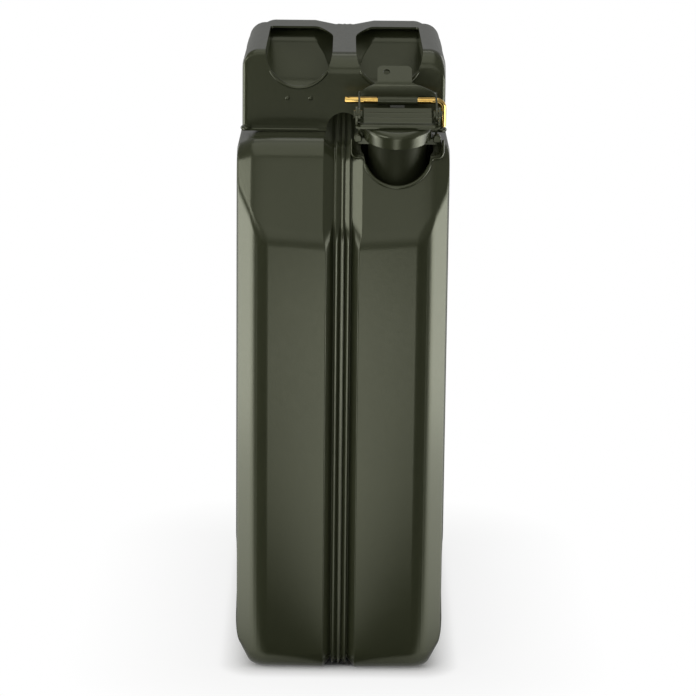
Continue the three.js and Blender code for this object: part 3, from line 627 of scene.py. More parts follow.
def shell_rows(wall):
    """Rings of the half can from the seam plane to the middle of its flat side, at a depth under the skin:
    half a weld, a raised ridge, the groove's flank, a panel with a slight crown and the bevel"""
    ridge, radii = (INNER_RIDGE, INNER_RADII) if wall else (RIDGE, RIDGE_RADII)
    panel = [(GROOVE_HALF, 0), (BEVEL_START, 0), (HALF_WIDTH, BEVEL_END), (HALF_WIDTH, SIDE_END)]
    x, inset = rounded(ridge + panel, radii, SECTION_STEPS, closed=False).T
    outside = x > MID_PANEL
    part = np.clip((x - GROOVE_HALF) / (BEVEL_START - GROOVE_HALF), 0, 1)[:, None]
    depth = np.where(outside, 0, inset)[:, None] * GROOVE_SHARE
    depth = np.maximum(depth, (x < GROOVE_FOOT)[:, None] * WELD_DEPTH)
    seam_inset = depth + wall + WALL_CROWN * part**2
    rings = outline_rings(seam_inset, np.where(outside, inset / BEVEL_INSET, 0))
    x = np.minimum(x, HALF_WIDTH - wall)[:, None]
    x = x + groove_width(x, rings[..., 0], rings[..., 1])
    rows = np.concatenate([x[..., None], rings], -1)
    steps = INNER_STEPS if wall else PANEL_STEPS
    inwards = np.linspace(0, 1, steps + 1)[1:, None, None]
    panel = rings[-1] * (1 - inwards) + PANEL_CENTRE * inwards
    flat = np.full(panel.shape[:2] + (1,), HALF_WIDTH - wall)
    rows = np.concatenate([rows, np.concatenate([flat, panel], -1)])
    limit = HALF_WIDTH - wall - cross_depth(rows[..., 1], rows[..., 2])
    rows[..., 0] = np.minimum(rows[..., 0], np.where(rows[..., 0] > ON_FLAT, limit, HALF_WIDTH))
    return rows


def half_shell():
    """A half can as one closed skin: the inner wall outwards to the seam plane, then the outer skin back"""
    rows = np.concatenate([shell_rows(SHEET)[::-1], shell_rows(0.0)])
    return form(rows, grid_faces(*rows.shape[:2]))


def half_block():
    """The half can without its hollow"""
    rows = shell_rows(0.0)
    count = rows.shape[1]
    return form(rows, grid_faces(*rows.shape[:2]) + [list(range(count))])


def spout_point(x, y, z):
    """A place in the can's frame, from one in the spout's"""
    cos, sin = math.cos(SPOUT_TILT), math.sin(SPOUT_TILT)
    return SPOUT + np.array([x, y * cos - z * sin, y * sin + z * cos])


def scoop_frame():
    """The lowest point of the scoop's U, and the leaning wall's upward and inward directions"""
    length = math.hypot(LEAN, LEAN_HEIGHT)
    upward = np.array([0, LEAN, LEAN_HEIGHT]) / length
    inward = np.array([0, LEAN_HEIGHT, -LEAN]) / length
    on_wall = np.array([0, -HALF_LENGTH, SADDLE - LEAN_HEIGHT])
    start = spout_point(0, -POCKET, 0)
    along = spout_point(0, -POCKET, 1) - start
    return start + along * ((on_wall - start) @ inward) / (along @ inward), upward, inward


def pocket(growth):
    """The spout's well, a side room for each catch lug and a U-shaped scoop in the leaning wall, all larger
    by `growth`"""
    reach, radius = ROOM_REACH + growth, ROOM_CORNER + growth
    well = prism(circle(POCKET + growth, 96), -growth, PAST_POCKET, "z")
    ring = rectangle(-reach, reach, LOBE_FLOOR - growth, PAST_POCKET, [radius, radius, 0, 0])
    rooms = prism(ring, -PAST_POCKET, ROOM_REAR + growth, "y")
    half = SCOOP_HALF + growth
    bend = half - SCOOP_FLAT
    ring = rectangle(-half, half, -growth, PAST_POCKET, [bend, bend, 0, 0], 32)
    scoop = prism(ring, -PAST_POCKET, SCOOP_DEPTH + growth, "y")
    scoop.data.transform(Matrix.Rotation(-math.atan2(LEAN, LEAN_HEIGHT), 4, "X"))
    low = scoop_frame()[0]
    return joined(on_spout(joined(well, rooms)), moved(scoop, *low))


def rim_bead():
    """A raised bead along the scoop's U: a round section carried along the arc between the side rooms"""
    low, upward, inward = scoop_frame()
    swing = np.linspace(-BEAD_SWING, BEAD_SWING, 61)[:, None]
    radius = SCOOP_HALF + BEAD_OFFSET
    arc = low + radius * np.sin(swing) * (1, 0, 0) + (SCOOP_HALF - radius * np.cos(swing)) * upward
    return swept(circle(BEAD, BEAD_SIDES), arc + BEAD_SINK * inward, inward, tapered(len(arc)))


def room_rims():
    """Raised rims round the two side rooms: a narrow oval carried from the end of the scoop's U, out under
    the room and up its side, in the plane of the leaning wall"""
    low, upward, inward = scoop_frame()
    axis = spout_point(0, 0, 1) - SPOUT
    floor = (LOBE_FLOOR - (low - SPOUT) @ axis) / (upward @ axis)
    near, far, under = SCOOP_HALF + BEAD_OFFSET, ROOM_REACH + BEAD_OFFSET, floor - BEAD_OFFSET
    start, end = ROOM_RIM_START * SCOOP_HALF, floor + ROOM_RIM_RISE
    corners = [(near, start), (near, under), (far, under), (far, end)]
    line = rounded(corners, [0, 2, 4.9, 0], 10, closed=False)
    oval = circle(ROOM_RIM, BEAD_SIDES) * (3, 1)
    rims = []
    for side in (-1, 1):
        path = low + side * line[:, :1] * (1, 0, 0) + line[:, 1:] * upward + ROOM_RIM_SINK * inward
        rims.append(swept(oval, path, inward))
    return rims


def near_pocket(middles):
    """True for edge middles near the rim of the spout's pocket"""
    x, y, z = (middles - SPOUT).T
    along = -y * math.sin(SPOUT_TILT) + z * math.cos(SPOUT_TILT)
    back = y * math.cos(SPOUT_TILT) + z * math.sin(SPOUT_TILT)
    return (np.hypot(x, back) < RIM_REACH) & (along > RIM_FLOOR) & (np.abs(x) < RIM_SIDE)


class CAN_OT_shells(bpy.types.Operator):
    """Presses the two half shells with their seam, bevels, crossed pressing and spout pocket"""

    bl_idname = "can.shells"
    bl_label = "Half shells"

    def execute(self, context):
        left = mirrored(half_shell())
        dress(left, "shell_left", "can", "painted_steel", "baked_olive_enamel", "left_shell")
        right = half_shell()
        liner = common(pocket(SHEET), half_block())
        neck_hole = on_spout(prism(circle(NECK + GAP, 96), -4, 1, "z"))
        cut(joined(right, liner), pocket(0.0), neck_hole)
        # the beads are joined next, so the rounding's corners stay as they are
        soften(right, RIM_ROUND * MM, 3, near_pocket, merge=False)
        joined(right, rim_bead(), *room_rims())
        dress(right, "shell_right", "can", "painted_steel", "baked_olive_enamel", "right_shell")
        return {"FINISHED"}


# Handle

# Radii of the top's sides and of the plate's edges, and the zone over which the top sags
TOP_ROUND, PLATE_ROUND, SAG_START, SAG_RUN = 13.0, 4.0, 24.0, 14.0
# Bends from the plate to the bars, and the zone over which they change
LEFT_BEND, CENTRE_BEND, RIGHT_BEND, BEND_START, BEND_RUN = 4.0, 16.0, 14.0, 8.0, 26.0
FOOT_FRONT, FOOT_REAR, SEAM_NOTCH = -117.0, -104.4, 13.0
# A slot's long corner is this much longer than wide; radii of its inner and outer far corners
SLOT_STRETCH, SLOT_INNER, SLOT_OUTER = 3.4, 13.0, 2.0
WINDOW_RIM, WINDOW_RIM_SINK = 1.4, 0.3
# Welds on the plate and on its foot: places and radii
SPOT_X, SPOT_Z, SPOT_RADII = (-43.0, -25.5), 438.0, (1.9, 1.1, 1.9)
END_X, END_Y, END_RADII = (-74.5, 74.5), -112.0, (4.2, 7.0, 2.2)
FOOT_WELD, FOOT_WELD_X, FOOT_WELD_Y = 1.0, (17.0, 71.0), -116.4
# The rims of the slots lie above, inside and behind these
LIP_LOW, LIP_SIDE, LIP_FRONT = 467.0, 61.0, -100.0


def quarter_drop(aside, start, radius):
    """How far a quarter circle has fallen, `aside` from the middle, where it begins at `start`"""
    return radius - np.sqrt(np.maximum(radius**2 - np.maximum(aside - start, 0) ** 2, 0))


def handle_block(inset):
    """The handle's outer form: side outlines carried across x, whose top sags over the seam and rounds off
    at the sides, and whose front plate rounds back at its edges"""
    half = HANDLE_HALF - inset
    rise, edge = TOP_ROUND - inset, PLATE_ROUND - inset
    turn = np.linspace(0, math.pi / 2, 13)
    x = np.concatenate([np.linspace(0, half - rise, 49)[:-1], half - rise + rise * np.sin(turn)])
    x = np.concatenate([-x[:0:-1], x])
    aside = np.abs(x)
    dip = bpy.context.scene.can_sizes.handle_dip / MM
    drop = quarter_drop(aside, half - rise, rise) + dip * eased((SAG_START - aside) / SAG_RUN)
    top = BAR_HIGH - inset - drop
    front = HANDLE_FRONT + inset + quarter_drop(aside, half - edge, edge)
    low = HANDLE_FOOT - (1.0 if inset else 0.0)
    # the left bar bends more sharply than the others
    outer = np.where(x < 0, LEFT_BEND, RIGHT_BEND)
    bend = CENTRE_BEND + (outer - CENTRE_BEND) * eased((aside - BEND_START) / BEND_RUN) - inset
    arc = np.linspace(0, math.pi / 2, 11)
    y = front[:, None] + bend[:, None] * (1 - np.cos(arc))
    z = top[:, None] - bend[:, None] * (1 - np.sin(arc))
    rear = np.full((len(x), 1), HANDLE_REAR - inset)
    foot = np.full((len(x), 1), low)
    runs = np.concatenate([front[:, None], y, rear, rear], 1)
    heights = np.concatenate([foot, z, top[:, None], foot], 1)
    rows = np.stack([np.broadcast_to(x[:, None], runs.shape), runs, heights], -1)
    return form(rows, tube_faces(*rows.shape[:2]))


def handle_openings():
    """Windows in the plate and the slots behind them, whose far inner corners are long quarter ellipses"""
    half = (OUTER_BAR - CENTRE_BAR) / 2
    tools = []
    for side in (-1, 1):
        middle = side * (CENTRE_BAR + OUTER_BAR) / 2
        ends = sorted((side * CENTRE_BAR, side * OUTER_BAR))
        radii = [0, 0, *(SLOT_INNER, SLOT_OUTER)[:: -side]]
        ring = rectangle(*ends, (PLATE_REAR - 4) / SLOT_STRETCH, SLOT_REAR / SLOT_STRETCH, radii, 16)
        slot = prism(ring * (1, SLOT_STRETCH), BAR_LOW - 12, BAR_HIGH + 2, "z")
        ring = circle(half, 96) * (1, WINDOW_DEPTH / half) + (middle, BAR_HIGH)
        window = prism(ring, HANDLE_FRONT - 8, PLATE_REAR, "y")
        tools.append(joined(slot, window))
    return tools


def window_bead(side):
    """A rolled rim along the lower stretch of a window, thinning out towards the bend of the plate"""
    half = (OUTER_BAR - CENTRE_BAR) / 2
    swing = np.radians(np.linspace(-148, -32, 49))
    x = side * (CENTRE_BAR + OUTER_BAR) / 2 + (half + BEAD_OFFSET) * np.cos(swing)
    z = BAR_HIGH + (WINDOW_DEPTH + BEAD_OFFSET) * np.sin(swing)
    path = np.stack([x, np.full_like(x, HANDLE_FRONT + WINDOW_RIM_SINK), z], 1)
    return swept(circle(WINDOW_RIM, BEAD_SIDES), path, (0, 1, 0), tapered(len(path)))


def handle_welds():
    """Two weld spots in the plate, a weld at each end of its foot and a bead along the foot"""
    spots = [lump((x, HANDLE_FRONT + 0.4, SPOT_Z), SPOT_RADII) for x in SPOT_X]
    ends = [lump((x, END_Y, HANDLE_FOOT + 1.6), END_RADII) for x in END_X]
    x = np.linspace(*FOOT_WELD_X, 25)
    y, z = np.full_like(x, FOOT_WELD_Y), np.full_like(x, HANDLE_FOOT + 1.2)
    beads = []
    for side in (-1, 1):
        path = np.stack([side * x, y, z], 1)
        beads.append(swept(circle(FOOT_WELD, 16), path, (0, 1, 0), tapered(len(x))))
    return spots + ends + beads


def handle_lips(middles):
    """True for edge middles on the rims of the slots in the handle's top, as far as the bars have walls"""
    x, y, z = middles.T
    return (z > LIP_LOW) & (np.abs(x) < LIP_SIDE) & (y > LIP_FRONT) & (y < CROSS_FRONT - 4)


class CAN_OT_handle(bpy.types.Operator):
    """Presses the handle: a front plate with two windows, three channel bars and a rear crosspiece"""

    bl_idname = "can.handle"
    bl_label = "Handle"

    def execute(self, context):
        sizes = context.scene.can_sizes
        wide = HANDLE_HALF + 1
        under = box(-wide, wide, PLATE_REAR, HANDLE_REAR + 1, HANDLE_FOOT - 1, BAR_LOW)
        inner, outer = CENTRE_BAR - HANDLE_SHEET, OUTER_BAR + HANDLE_SHEET
        bars = [(-inner, inner, HANDLE_FRONT), (outer, wide, HANDLE_FRONT), (-wide, -outer, HANDLE_FRONT)]
        bars += [(-OUTER_BAR, OUTER_BAR, CROSS_FRONT)]
        rooms = box(-wide, wide, HANDLE_FRONT, PLATE_REAR, HANDLE_FOOT - 1, BAR_HIGH)
        joined(rooms, *[box(*bar, HANDLE_REAR, BAR_LOW, BAR_HIGH) for bar in bars])
        hollow = common(handle_block(HANDLE_SHEET), rooms)
        foot_top = HANDLE_FOOT + HANDLE_SHEET
        foot = box(-HANDLE_HALF, HANDLE_HALF, FOOT_FRONT, FOOT_REAR, HANDLE_FOOT, foot_top)
        notch = prism(circle(SEAM_NOTCH, 48, (0, HANDLE_FOOT)), FOOT_FRONT - 7, PLATE_REAR, "y")
        handle = cut(handle_block(0.0), under, hollow)
        hump = joined(half_block(), mirrored(half_block()))
        seat = common(hump, box(-wide, wide, SLOT_REAR, HALF_LENGTH, SADDLE, BAR_HIGH))
        handle = cut(joined(handle, foot), *handle_openings(), notch, moved(seat, 0, -GAP, GAP))
        soften(handle, sizes.lip_round, 4, handle_lips)
        soften(handle, sizes.edge_round, 2)
        joined(handle, window_bead(-1), window_bead(1), *handle_welds())
        dress(handle, "handle", "can", "painted_steel", "baked_olive_enamel", "handle_unit")
        return {"FINISHED"}


# Spout and closure


class CAN_OT_neck(bpy.types.Operator):
    """Turns the filler neck with its root flange and rolled rim"""

    bl_idname = "can.neck"
    bl_label = "Filler neck"

    def execute(self, context):
        profile = [(NECK_BORE, NECK_LOW), (NECK, NECK_LOW), (NECK, GAP), (FLANGE, GAP)]
        profile += [(FLANGE, FLANGE_TOP), (NECK, FLANGE_WELD), (NECK, FLARE_LOW)]
        profile += [(RIM, RIM_LOW), (RIM, NECK_HEIGHT), (NECK_BORE, NECK_HEIGHT)]
        profile = rounded(profile, [0.4, 0.4, 0, 0.3, 0.7, 1.5, 1.5, 1.0, 1.4, 1.2], 6)
        neck = on_spout(turned(profile))
        # the neck's darker enamel is painted shade of the pocket
        dress(neck, "neck", "can", "painted_steel", "dull_olive_enamel_with_painted_shade", "filler_neck")
        return {"FINISHED"}


class CAN_OT_lugs(bpy.types.Operator):
    """Bends the two catch lugs: a leg welded to the neck, whose ear rolls forward into a round cap"""

    bl_idname = "can.lugs"
    bl_label = "Catch lugs"

    def execute(self, context):
        for side, name in ((-1, "left"), (1, "right")):
            rear = LUG_FRONT + LUG_SHEET
            ring = rectangle(NECK - 1, LUG_INNER + 2, LUG_LOW + 3, LEG_TOP, [0.6, 0.6, 2.0, 2.0])
            leg = prism(ring, LUG_FRONT, rear, "y")
            bore = prism(circle(NECK + 0.1, 64), LUG_LOW, 38, "z")
            ring = rectangle(LUG_INNER, LUG_OUTER, CAP_LOW, LUG_TOP, [1.8, 1.8, 3, 3])
            cap = soften(prism(ring, LUG_FRONT - CAP_DEPTH, rear, "y"), CAP_ROUND * MM, 4)
            lug = joined(cut(leg, bore), cap)
            if side < 0:
                mirrored(lug)
            on_spout(lug)
            dress(lug, "lug_" + name, "can", "painted_steel", "baked_olive_enamel", "catch_lug_" + name)
        return {"FINISHED"}


class CAN_OT_lid(bpy.types.Operator):
    """Draws the lid: a dish with a round edge and a skirt that ends in a narrow lip"""

    bl_idname = "can.lid"
    bl_label = "Lid"

    def execute(self, context):
        under, inner = LID_TOP - LID_SHEET, LID - LID_SHEET
        profile = [(LID_HOLE, under), (inner, under), (inner, LID_LOW), (LID, LID_LOW), (LID, LID_TOP)]
        profile = rounded(profile + [(LID_HOLE, LID_TOP)], [0, 2.0, 0.3, 0.3, 4.5, 0], 8)
        lid = on_spout(turned(profile))
        dress(lid, "lid", "closure", "painted_steel", "baked_olive_enamel", "lid_dish")
        return {"FINISHED"}


class CAN_OT_strap(bpy.types.Operator):
    """Forms the clamp strap: ribs across the lid, upturned ears and the tongue of the hinge"""

    bl_idname = "can.strap"
    bl_label = "Clamp strap"

    def execute(self, context):
        high = STRAP_LOW + STRAP_SHEET
        y = RIB_PITCH * np.linspace(-1, RIBS - 1, RIBS * 28 + 1)
        rise = RIB_HEIGHT * (1 - np.cos(2 * math.pi * (y / RIB_PITCH + 1))) / 2
        under = np.stack([y, STRAP_LOW + rise], 1)
        under = np.concatenate([[(STRAP_FRONT, STRAP_LOW)], under])
        ring = np.concatenate([under, under[::-1] + (0, STRAP_SHEET)])
        sheet = prism(ring, -STRAP_HALF, STRAP_HALF, "x")
        out, top = EAR_OUTER, PIVOT_Z + EAR_RADIUS
        corners = [(-out, top), (-out, STRAP_LOW), (out, STRAP_LOW), (out, top)]
        inner = [(out - STRAP_SHEET, top), (out - STRAP_SHEET, high), (STRAP_SHEET - out, high)]
        inner += [(STRAP_SHEET - out, top)]
        ring = rounded(corners + inner, [0, 2.3, 2.3, 0, 0, 0.8, 0.8, 0], 8)
        band = prism(ring, STRAP_FRONT, PIVOT_Y + EAR_RADIUS, "y")
        ear_front, ear_rear = PIVOT_Y - EAR_RADIUS, PIVOT_Y + EAR_RADIUS
        side = [(STRAP_FRONT, STRAP_LOW - 1), (-RIB_PITCH, STRAP_LOW - 1), (-RIB_PITCH, high)]
        side += [(ear_rear, high + 1.5), (ear_rear, top), (ear_front, top)]
        side += [(ear_front, high + 0.4), (STRAP_FRONT, high + 0.4)]
        side = rounded(side, [0, 0, 0, 1, 5.9, 5.9, 1.5, 0], 8)
        band = common(band, prism(side, -ACROSS, ACROSS, "x"))
        wall_front = LID + 2 * GAP
        wall_rear = wall_front + STRAP_SHEET
        tongue = box(-KNUCKLE, KNUCKLE, RIB_PITCH, wall_rear, STRAP_LOW, high)
        wall = box(-KNUCKLE, KNUCKLE, wall_front, wall_rear, HINGE_Z, high)
        barrel = rod(BARREL, 40, (HINGE_Y, HINGE_Z), KNUCKLE)
        bore = rod(PIVOT_HOLE, 32, (HINGE_Y, HINGE_Z), 8)
        pivot = rod(PIVOT_HOLE, 32, (PIVOT_Y, PIVOT_Z), ACROSS)
        # the lip ends short of the lever's arms
        lip = rod(1.3, 24, (STRAP_FRONT + 1.2, high), STRAP_HALF + 2.3)
        rivet_room = prism(circle(LID_HOLE, 32), LID_TOP - 1, RIVET_TOP + GAP / 4, "z")
        strap = cut(joined(sheet, band, tongue, wall, barrel, lip), bore, pivot, rivet_room)
        soften(strap, context.scene.can_sizes.edge_round, 2)
        on_spout(strap)
        dress(strap, "strap", "closure", "painted_steel", "baked_olive_enamel", "clamp_strap")
        return {"FINISHED"}


class CAN_OT_rivet(bpy.types.Operator):
    """Turns the rivet of the lid, with a domed head below and its closed end inside the strap"""

    bl_idname = "can.rivet"
    bl_label = "Lid rivet"

    def execute(self, context):
        foot, head = RIVET_FOOT, RIVET_FOOT + 1.5
        profile = [(0, foot), (RIVET_HEAD, foot), (RIVET_HEAD, head), (RIVET_SHANK, head)]
        profile += [(RIVET_SHANK, RIVET_TOP), (0, RIVET_TOP)]
        rivet = on_spout(turned(rounded(profile, [0, 1.2, 0.2, 0.2, 0.3, 0], 6), 48))
        dress(rivet, "lid_stud", "closure", "bare_steel", "bright_zinc_plating", "lid_rivet")
        return {"FINISHED"}


def lever_sheet():
    """The lever's web and thumb tab as one bent sheet: a path up, round the bend and back, whose half width
    narrows along an S from the arms to the tab and rounds off at the tab's free edge"""
    base, low = PIVOT_Z + TAB_RISE, PIVOT_Z + WEB_NARROWS
    end = (PIN_Y + TAB_LENGTH * math.cos(TAB_SLOPE), base + TAB_LENGTH * math.sin(TAB_SLOPE))
    corners = [(PIN_Y, PIVOT_Z + WEB_FOOT), (PIN_Y, base), end]
    path = rounded(corners, [0, TAB_BEND, 0], 10, closed=False)
    lengths = np.concatenate([[0], np.cumsum(np.linalg.norm(np.diff(path, axis=0), axis=1))])
    total = lengths[-1]
    corner = np.sin(np.linspace(0, math.pi / 2, 10))
    turn_in = total - TAB_CORNER
    reached = np.concatenate([np.linspace(0, turn_in, 60), turn_in + TAB_CORNER * corner[1:]])
    y, z = (np.interp(reached, lengths, path[:, i]) for i in (0, 1))
    sweep = np.clip((z - low) / (base - low), 0, 1) ** WEB_POWER
    on_tab = reached > lengths[len(path) // 2]
    width = np.where(on_tab, TAB_HALF, ARM_OUTER + (TAB_HALF - ARM_OUTER) * sweep)
    width = width - quarter_drop(reached, turn_in, TAB_CORNER)
    middle = TAB_ASIDE * np.where(on_tab, 1, sweep)
    tangent = np.stack([np.gradient(y), np.gradient(z)], 1)
    tangent = tangent / np.linalg.norm(tangent, axis=1)[:, None]
    normal = np.stack([-tangent[:, 1], tangent[:, 0]], 1)
    across = np.linspace(-1, 1, 25)
    x = middle[:, None] + width[:, None] * across
    layers = []
    for lift in (-ARM_SHEET / 2, ARM_SHEET / 2):
        depth = (y + lift * normal[:, 0])[:, None] + 0 * across
        height = (z + lift * normal[:, 1])[:, None] + 0 * across
        layers.append(np.stack([x, depth, height], -1))
    rows = np.concatenate([layers[0], layers[1][:, ::-1]], 1)
    sheet = form(rows, tube_faces(*rows.shape[:2]))
    hole_y, hole_z = (np.interp(total - TAB_HOLE_INSET, lengths, path[:, i]) for i in (0, 1))
    hole = prism(circle(TAB_HOLE, 40), -4, 4, "z")
    hole.data.transform(Matrix.Rotation(TAB_SLOPE, 4, "X"))
    return cut(sheet, moved(hole, TAB_HOLE_X, hole_y, hole_z))


class CAN_OT_lever(bpy.types.Operator):
    """Bends the cam lever: hooked arms, a web that narrows into the thumb tab, and a rolled sleeve"""

    bl_idname = "can.lever"
    bl_label = "Cam lever"

    def execute(self, context):
        front, rear = PIVOT_Y - ARM_HALF, PIN_Y + ARM_HALF
        bar = rectangle(front, rear, PIVOT_Z - ARM_HALF, PIVOT_Z + ARM_HALF, [5.4, 5.4, 2, 5.4])
        hook = rectangle(HOOK_FRONT, HOOK_REAR, PIVOT_Z - HOOK_DROP, PIVOT_Z, [1, 1, 0, 0])
        arms = []
        clears = []
        for low, start in ((-ARM_OUTER, -ARM_INNER), (ARM_INNER, SLEEVE_HALF + 0.5)):
            arms += [prism(ring, low, low + ARM_SHEET, "x") for ring in (bar, hook)]
            stop = start + ARM_INNER - SLEEVE_HALF - 0.5
            clears.append(box(start, stop, PIN_Y - 4, PIN_Y + 4, PIVOT_Z - 4, PIVOT_Z + 4.2))
        sleeve = rod(SLEEVE, 40, (PIN_Y, PIVOT_Z), SLEEVE_HALF)
        pin_way = rod(PIN_WAY, 40, (PIN_Y, PIVOT_Z), ACROSS)
        pivot = rod(PIVOT_HOLE, 32, (PIVOT_Y, PIVOT_Z), ACROSS)
        sheet = cut(lever_sheet(), *clears)
        lever = cut(joined(sheet, sleeve, *arms), pin_way, pivot)
        soften(lever, context.scene.can_sizes.edge_round, 2)
        on_spout(lever)
        dress(lever, "lever", "lever", "painted_steel", "baked_olive_enamel", "cam_lever")
        return {"FINISHED"}


class CAN_OT_pin(bpy.types.Operator):
    """Bends the locking pin from round wire, with a cross hole near its tip"""

    bl_idname = "can.pin"
    bl_label = "Locking pin"

    def execute(self, context):
        corners = [(PIN_TIP, PIVOT_Z), (PIN_BEND, PIVOT_Z), (PIN_BEND, PIVOT_Z - PIN_DROP)]
        line = rounded(corners, [0, PIN_CORNER, 0], 20, closed=False)
        path = np.stack([line[:, 0], np.full(len(line), PIN_Y), line[:, 1]], 1)
        pin = swept(circle(PIN, 32), path, (0, 1, 0))
        eye = prism(circle(PIN_EYE, 20), PIVOT_Z - 4, PIVOT_Z + 4, "z")
        cut(pin, moved(eye, PIN_EYE_X, PIN_Y))
        soften(pin, PIN_ROUND * MM, 3)
        on_spout(pin)
        dress(pin, "pin", "pin", "plated_steel", "yellow_zinc_plating", "locking_pin")
        return {"FINISHED"}


class CAN_OT_fittings(bpy.types.Operator):
    """Gives the fittings that keep their solid their finishes"""

    bl_idname = "can.fittings"
    bl_label = "Fittings"

    def execute(self, context):
        finishes = {
            "breather_tube": "bright_zinc_plating",
            "hinge_bracket": "baked_olive_enamel",
            "hinge_pin": "bright_zinc_plating",
            "lid_gasket": "moulded_nitrile_rubber",
            "gasket_retainer": "bright_zinc_plating",
            "lever_rivet_left": "baked_olive_enamel",
            "lever_rivet_right": "baked_olive_enamel",
        }
        for node, finish in finishes.items():
            mesh = NODES[node].data
            mesh.materials.clear()
            mesh.materials.append(finish_of(finish))
        return {"FINISHED"}


# Stage

# Metres, except the angles from the front, in radians, and brightness, where 1 is white
FLOOR_REACH = 4000.0
FOOTPRINT = (0.062, 0.155, 0.0)
FLOOR_FADE = [(0.0, 0.0), (0.012, 0.3), (0.032, 0.85), (0.15, 1.0)]
# the floor's painted glow, seen in reflections only: its reach, centre, and levels by sector
GLOW_REACH = 2.5
GLOW_CENTRE = (0.0, 0.165, 0.0)
FRONT_SECTOR, FRONT_LEVELS = (0.0, 0.34), (3.5, 0.1)
FRONT_GLOW = [(0.0, 0.05), (0.2, 0.1), (0.34, 0.44), (0.64, 0.7), (1.0, 0.76), (1.35, 0.82)]
FRONT_GLOW += [(1.6, 1.0), (1.8, 0.85), (1.95, 0.15), (2.05, 0.0)]
SIDE_SECTOR, SIDE_LEVELS = (1.0, 1.3), (0.0, 3.5)
SIDE_GLOW = [(0.0, 0.03), (0.17, 0.1), (0.24, 0.5), (0.33, 0.66), (0.6, 0.85), (0.9, 1.0)]
REAR_SECTOR, REAR_LEVELS = (1.8, 2.3), (1.0, 0.1)
ROOM_LIGHT, ROOM_IN_PAINT = 0.14, 0.28
# Soft lamps: name, width and height, watts, place and target
LAMPS = [
    ("left box", (0.42, 0.75), 1.85, (-0.78, -0.245, 0.375), (0, -0.245, 0.375)),
    ("right box", (0.42, 0.44), 1.3, (0.78, -0.245, 0.22), (0, -0.245, 0.22)),
    ("top box", (1.2, 2.2), 7.3, (0.0, -0.9, 1.7), (0, -0.9, 0.3)),
    ("front box", (1.2, 1.15), 3.3, (0.0, -2.6, 1.03), (0, 0, 1.03)),
    ("left fill", (0.8, 0.5), 4.8, (-1.06, -1.22, 0.84), (0, -0.16, 0.38)),
    ("high box", (1.0, 0.5), 1.6, (0.05, 0.62, 1.75), (0.04, -0.12, 0.44)),
    ("rear left box", (0.9, 1.1), 4.0, (-1.3, 1.5, 0.6), (0, 0, 0.3)),
    ("rear right box", (0.9, 1.1), 4.0, (1.3, 1.5, 0.6), (0, 0, 0.3)),
]
# The camera: lens and sensor in millimetres, shift in pixels of a square picture, roll in degrees
LENS, SENSOR, PICTURE, SHIFT = 145.8, 36.0, 696, (6.4, -21.5)
CAMERA_PLACE, CAMERA_AIM, CAMERA_ROLL, CAMERA_REACH = (0, -2.241, 0.752), (0, 0, 0.235), 0.58, 100


def area_light(name, size, power, place, target):
    """A square or oblong soft lamp that faces a target, both in metres"""
    data = bpy.data.lights.new(name, "AREA")
    data.shape = "RECTANGLE"
    data.size, data.size_y = size
    data.energy = power
    lamp = bpy.data.objects.new(name, data)
    lamp.location = place
    lamp.rotation_euler = (Vector(target) - Vector(place)).to_track_quat("-Z", "Y").to_euler()
    bpy.context.scene.collection.objects.link(lamp)


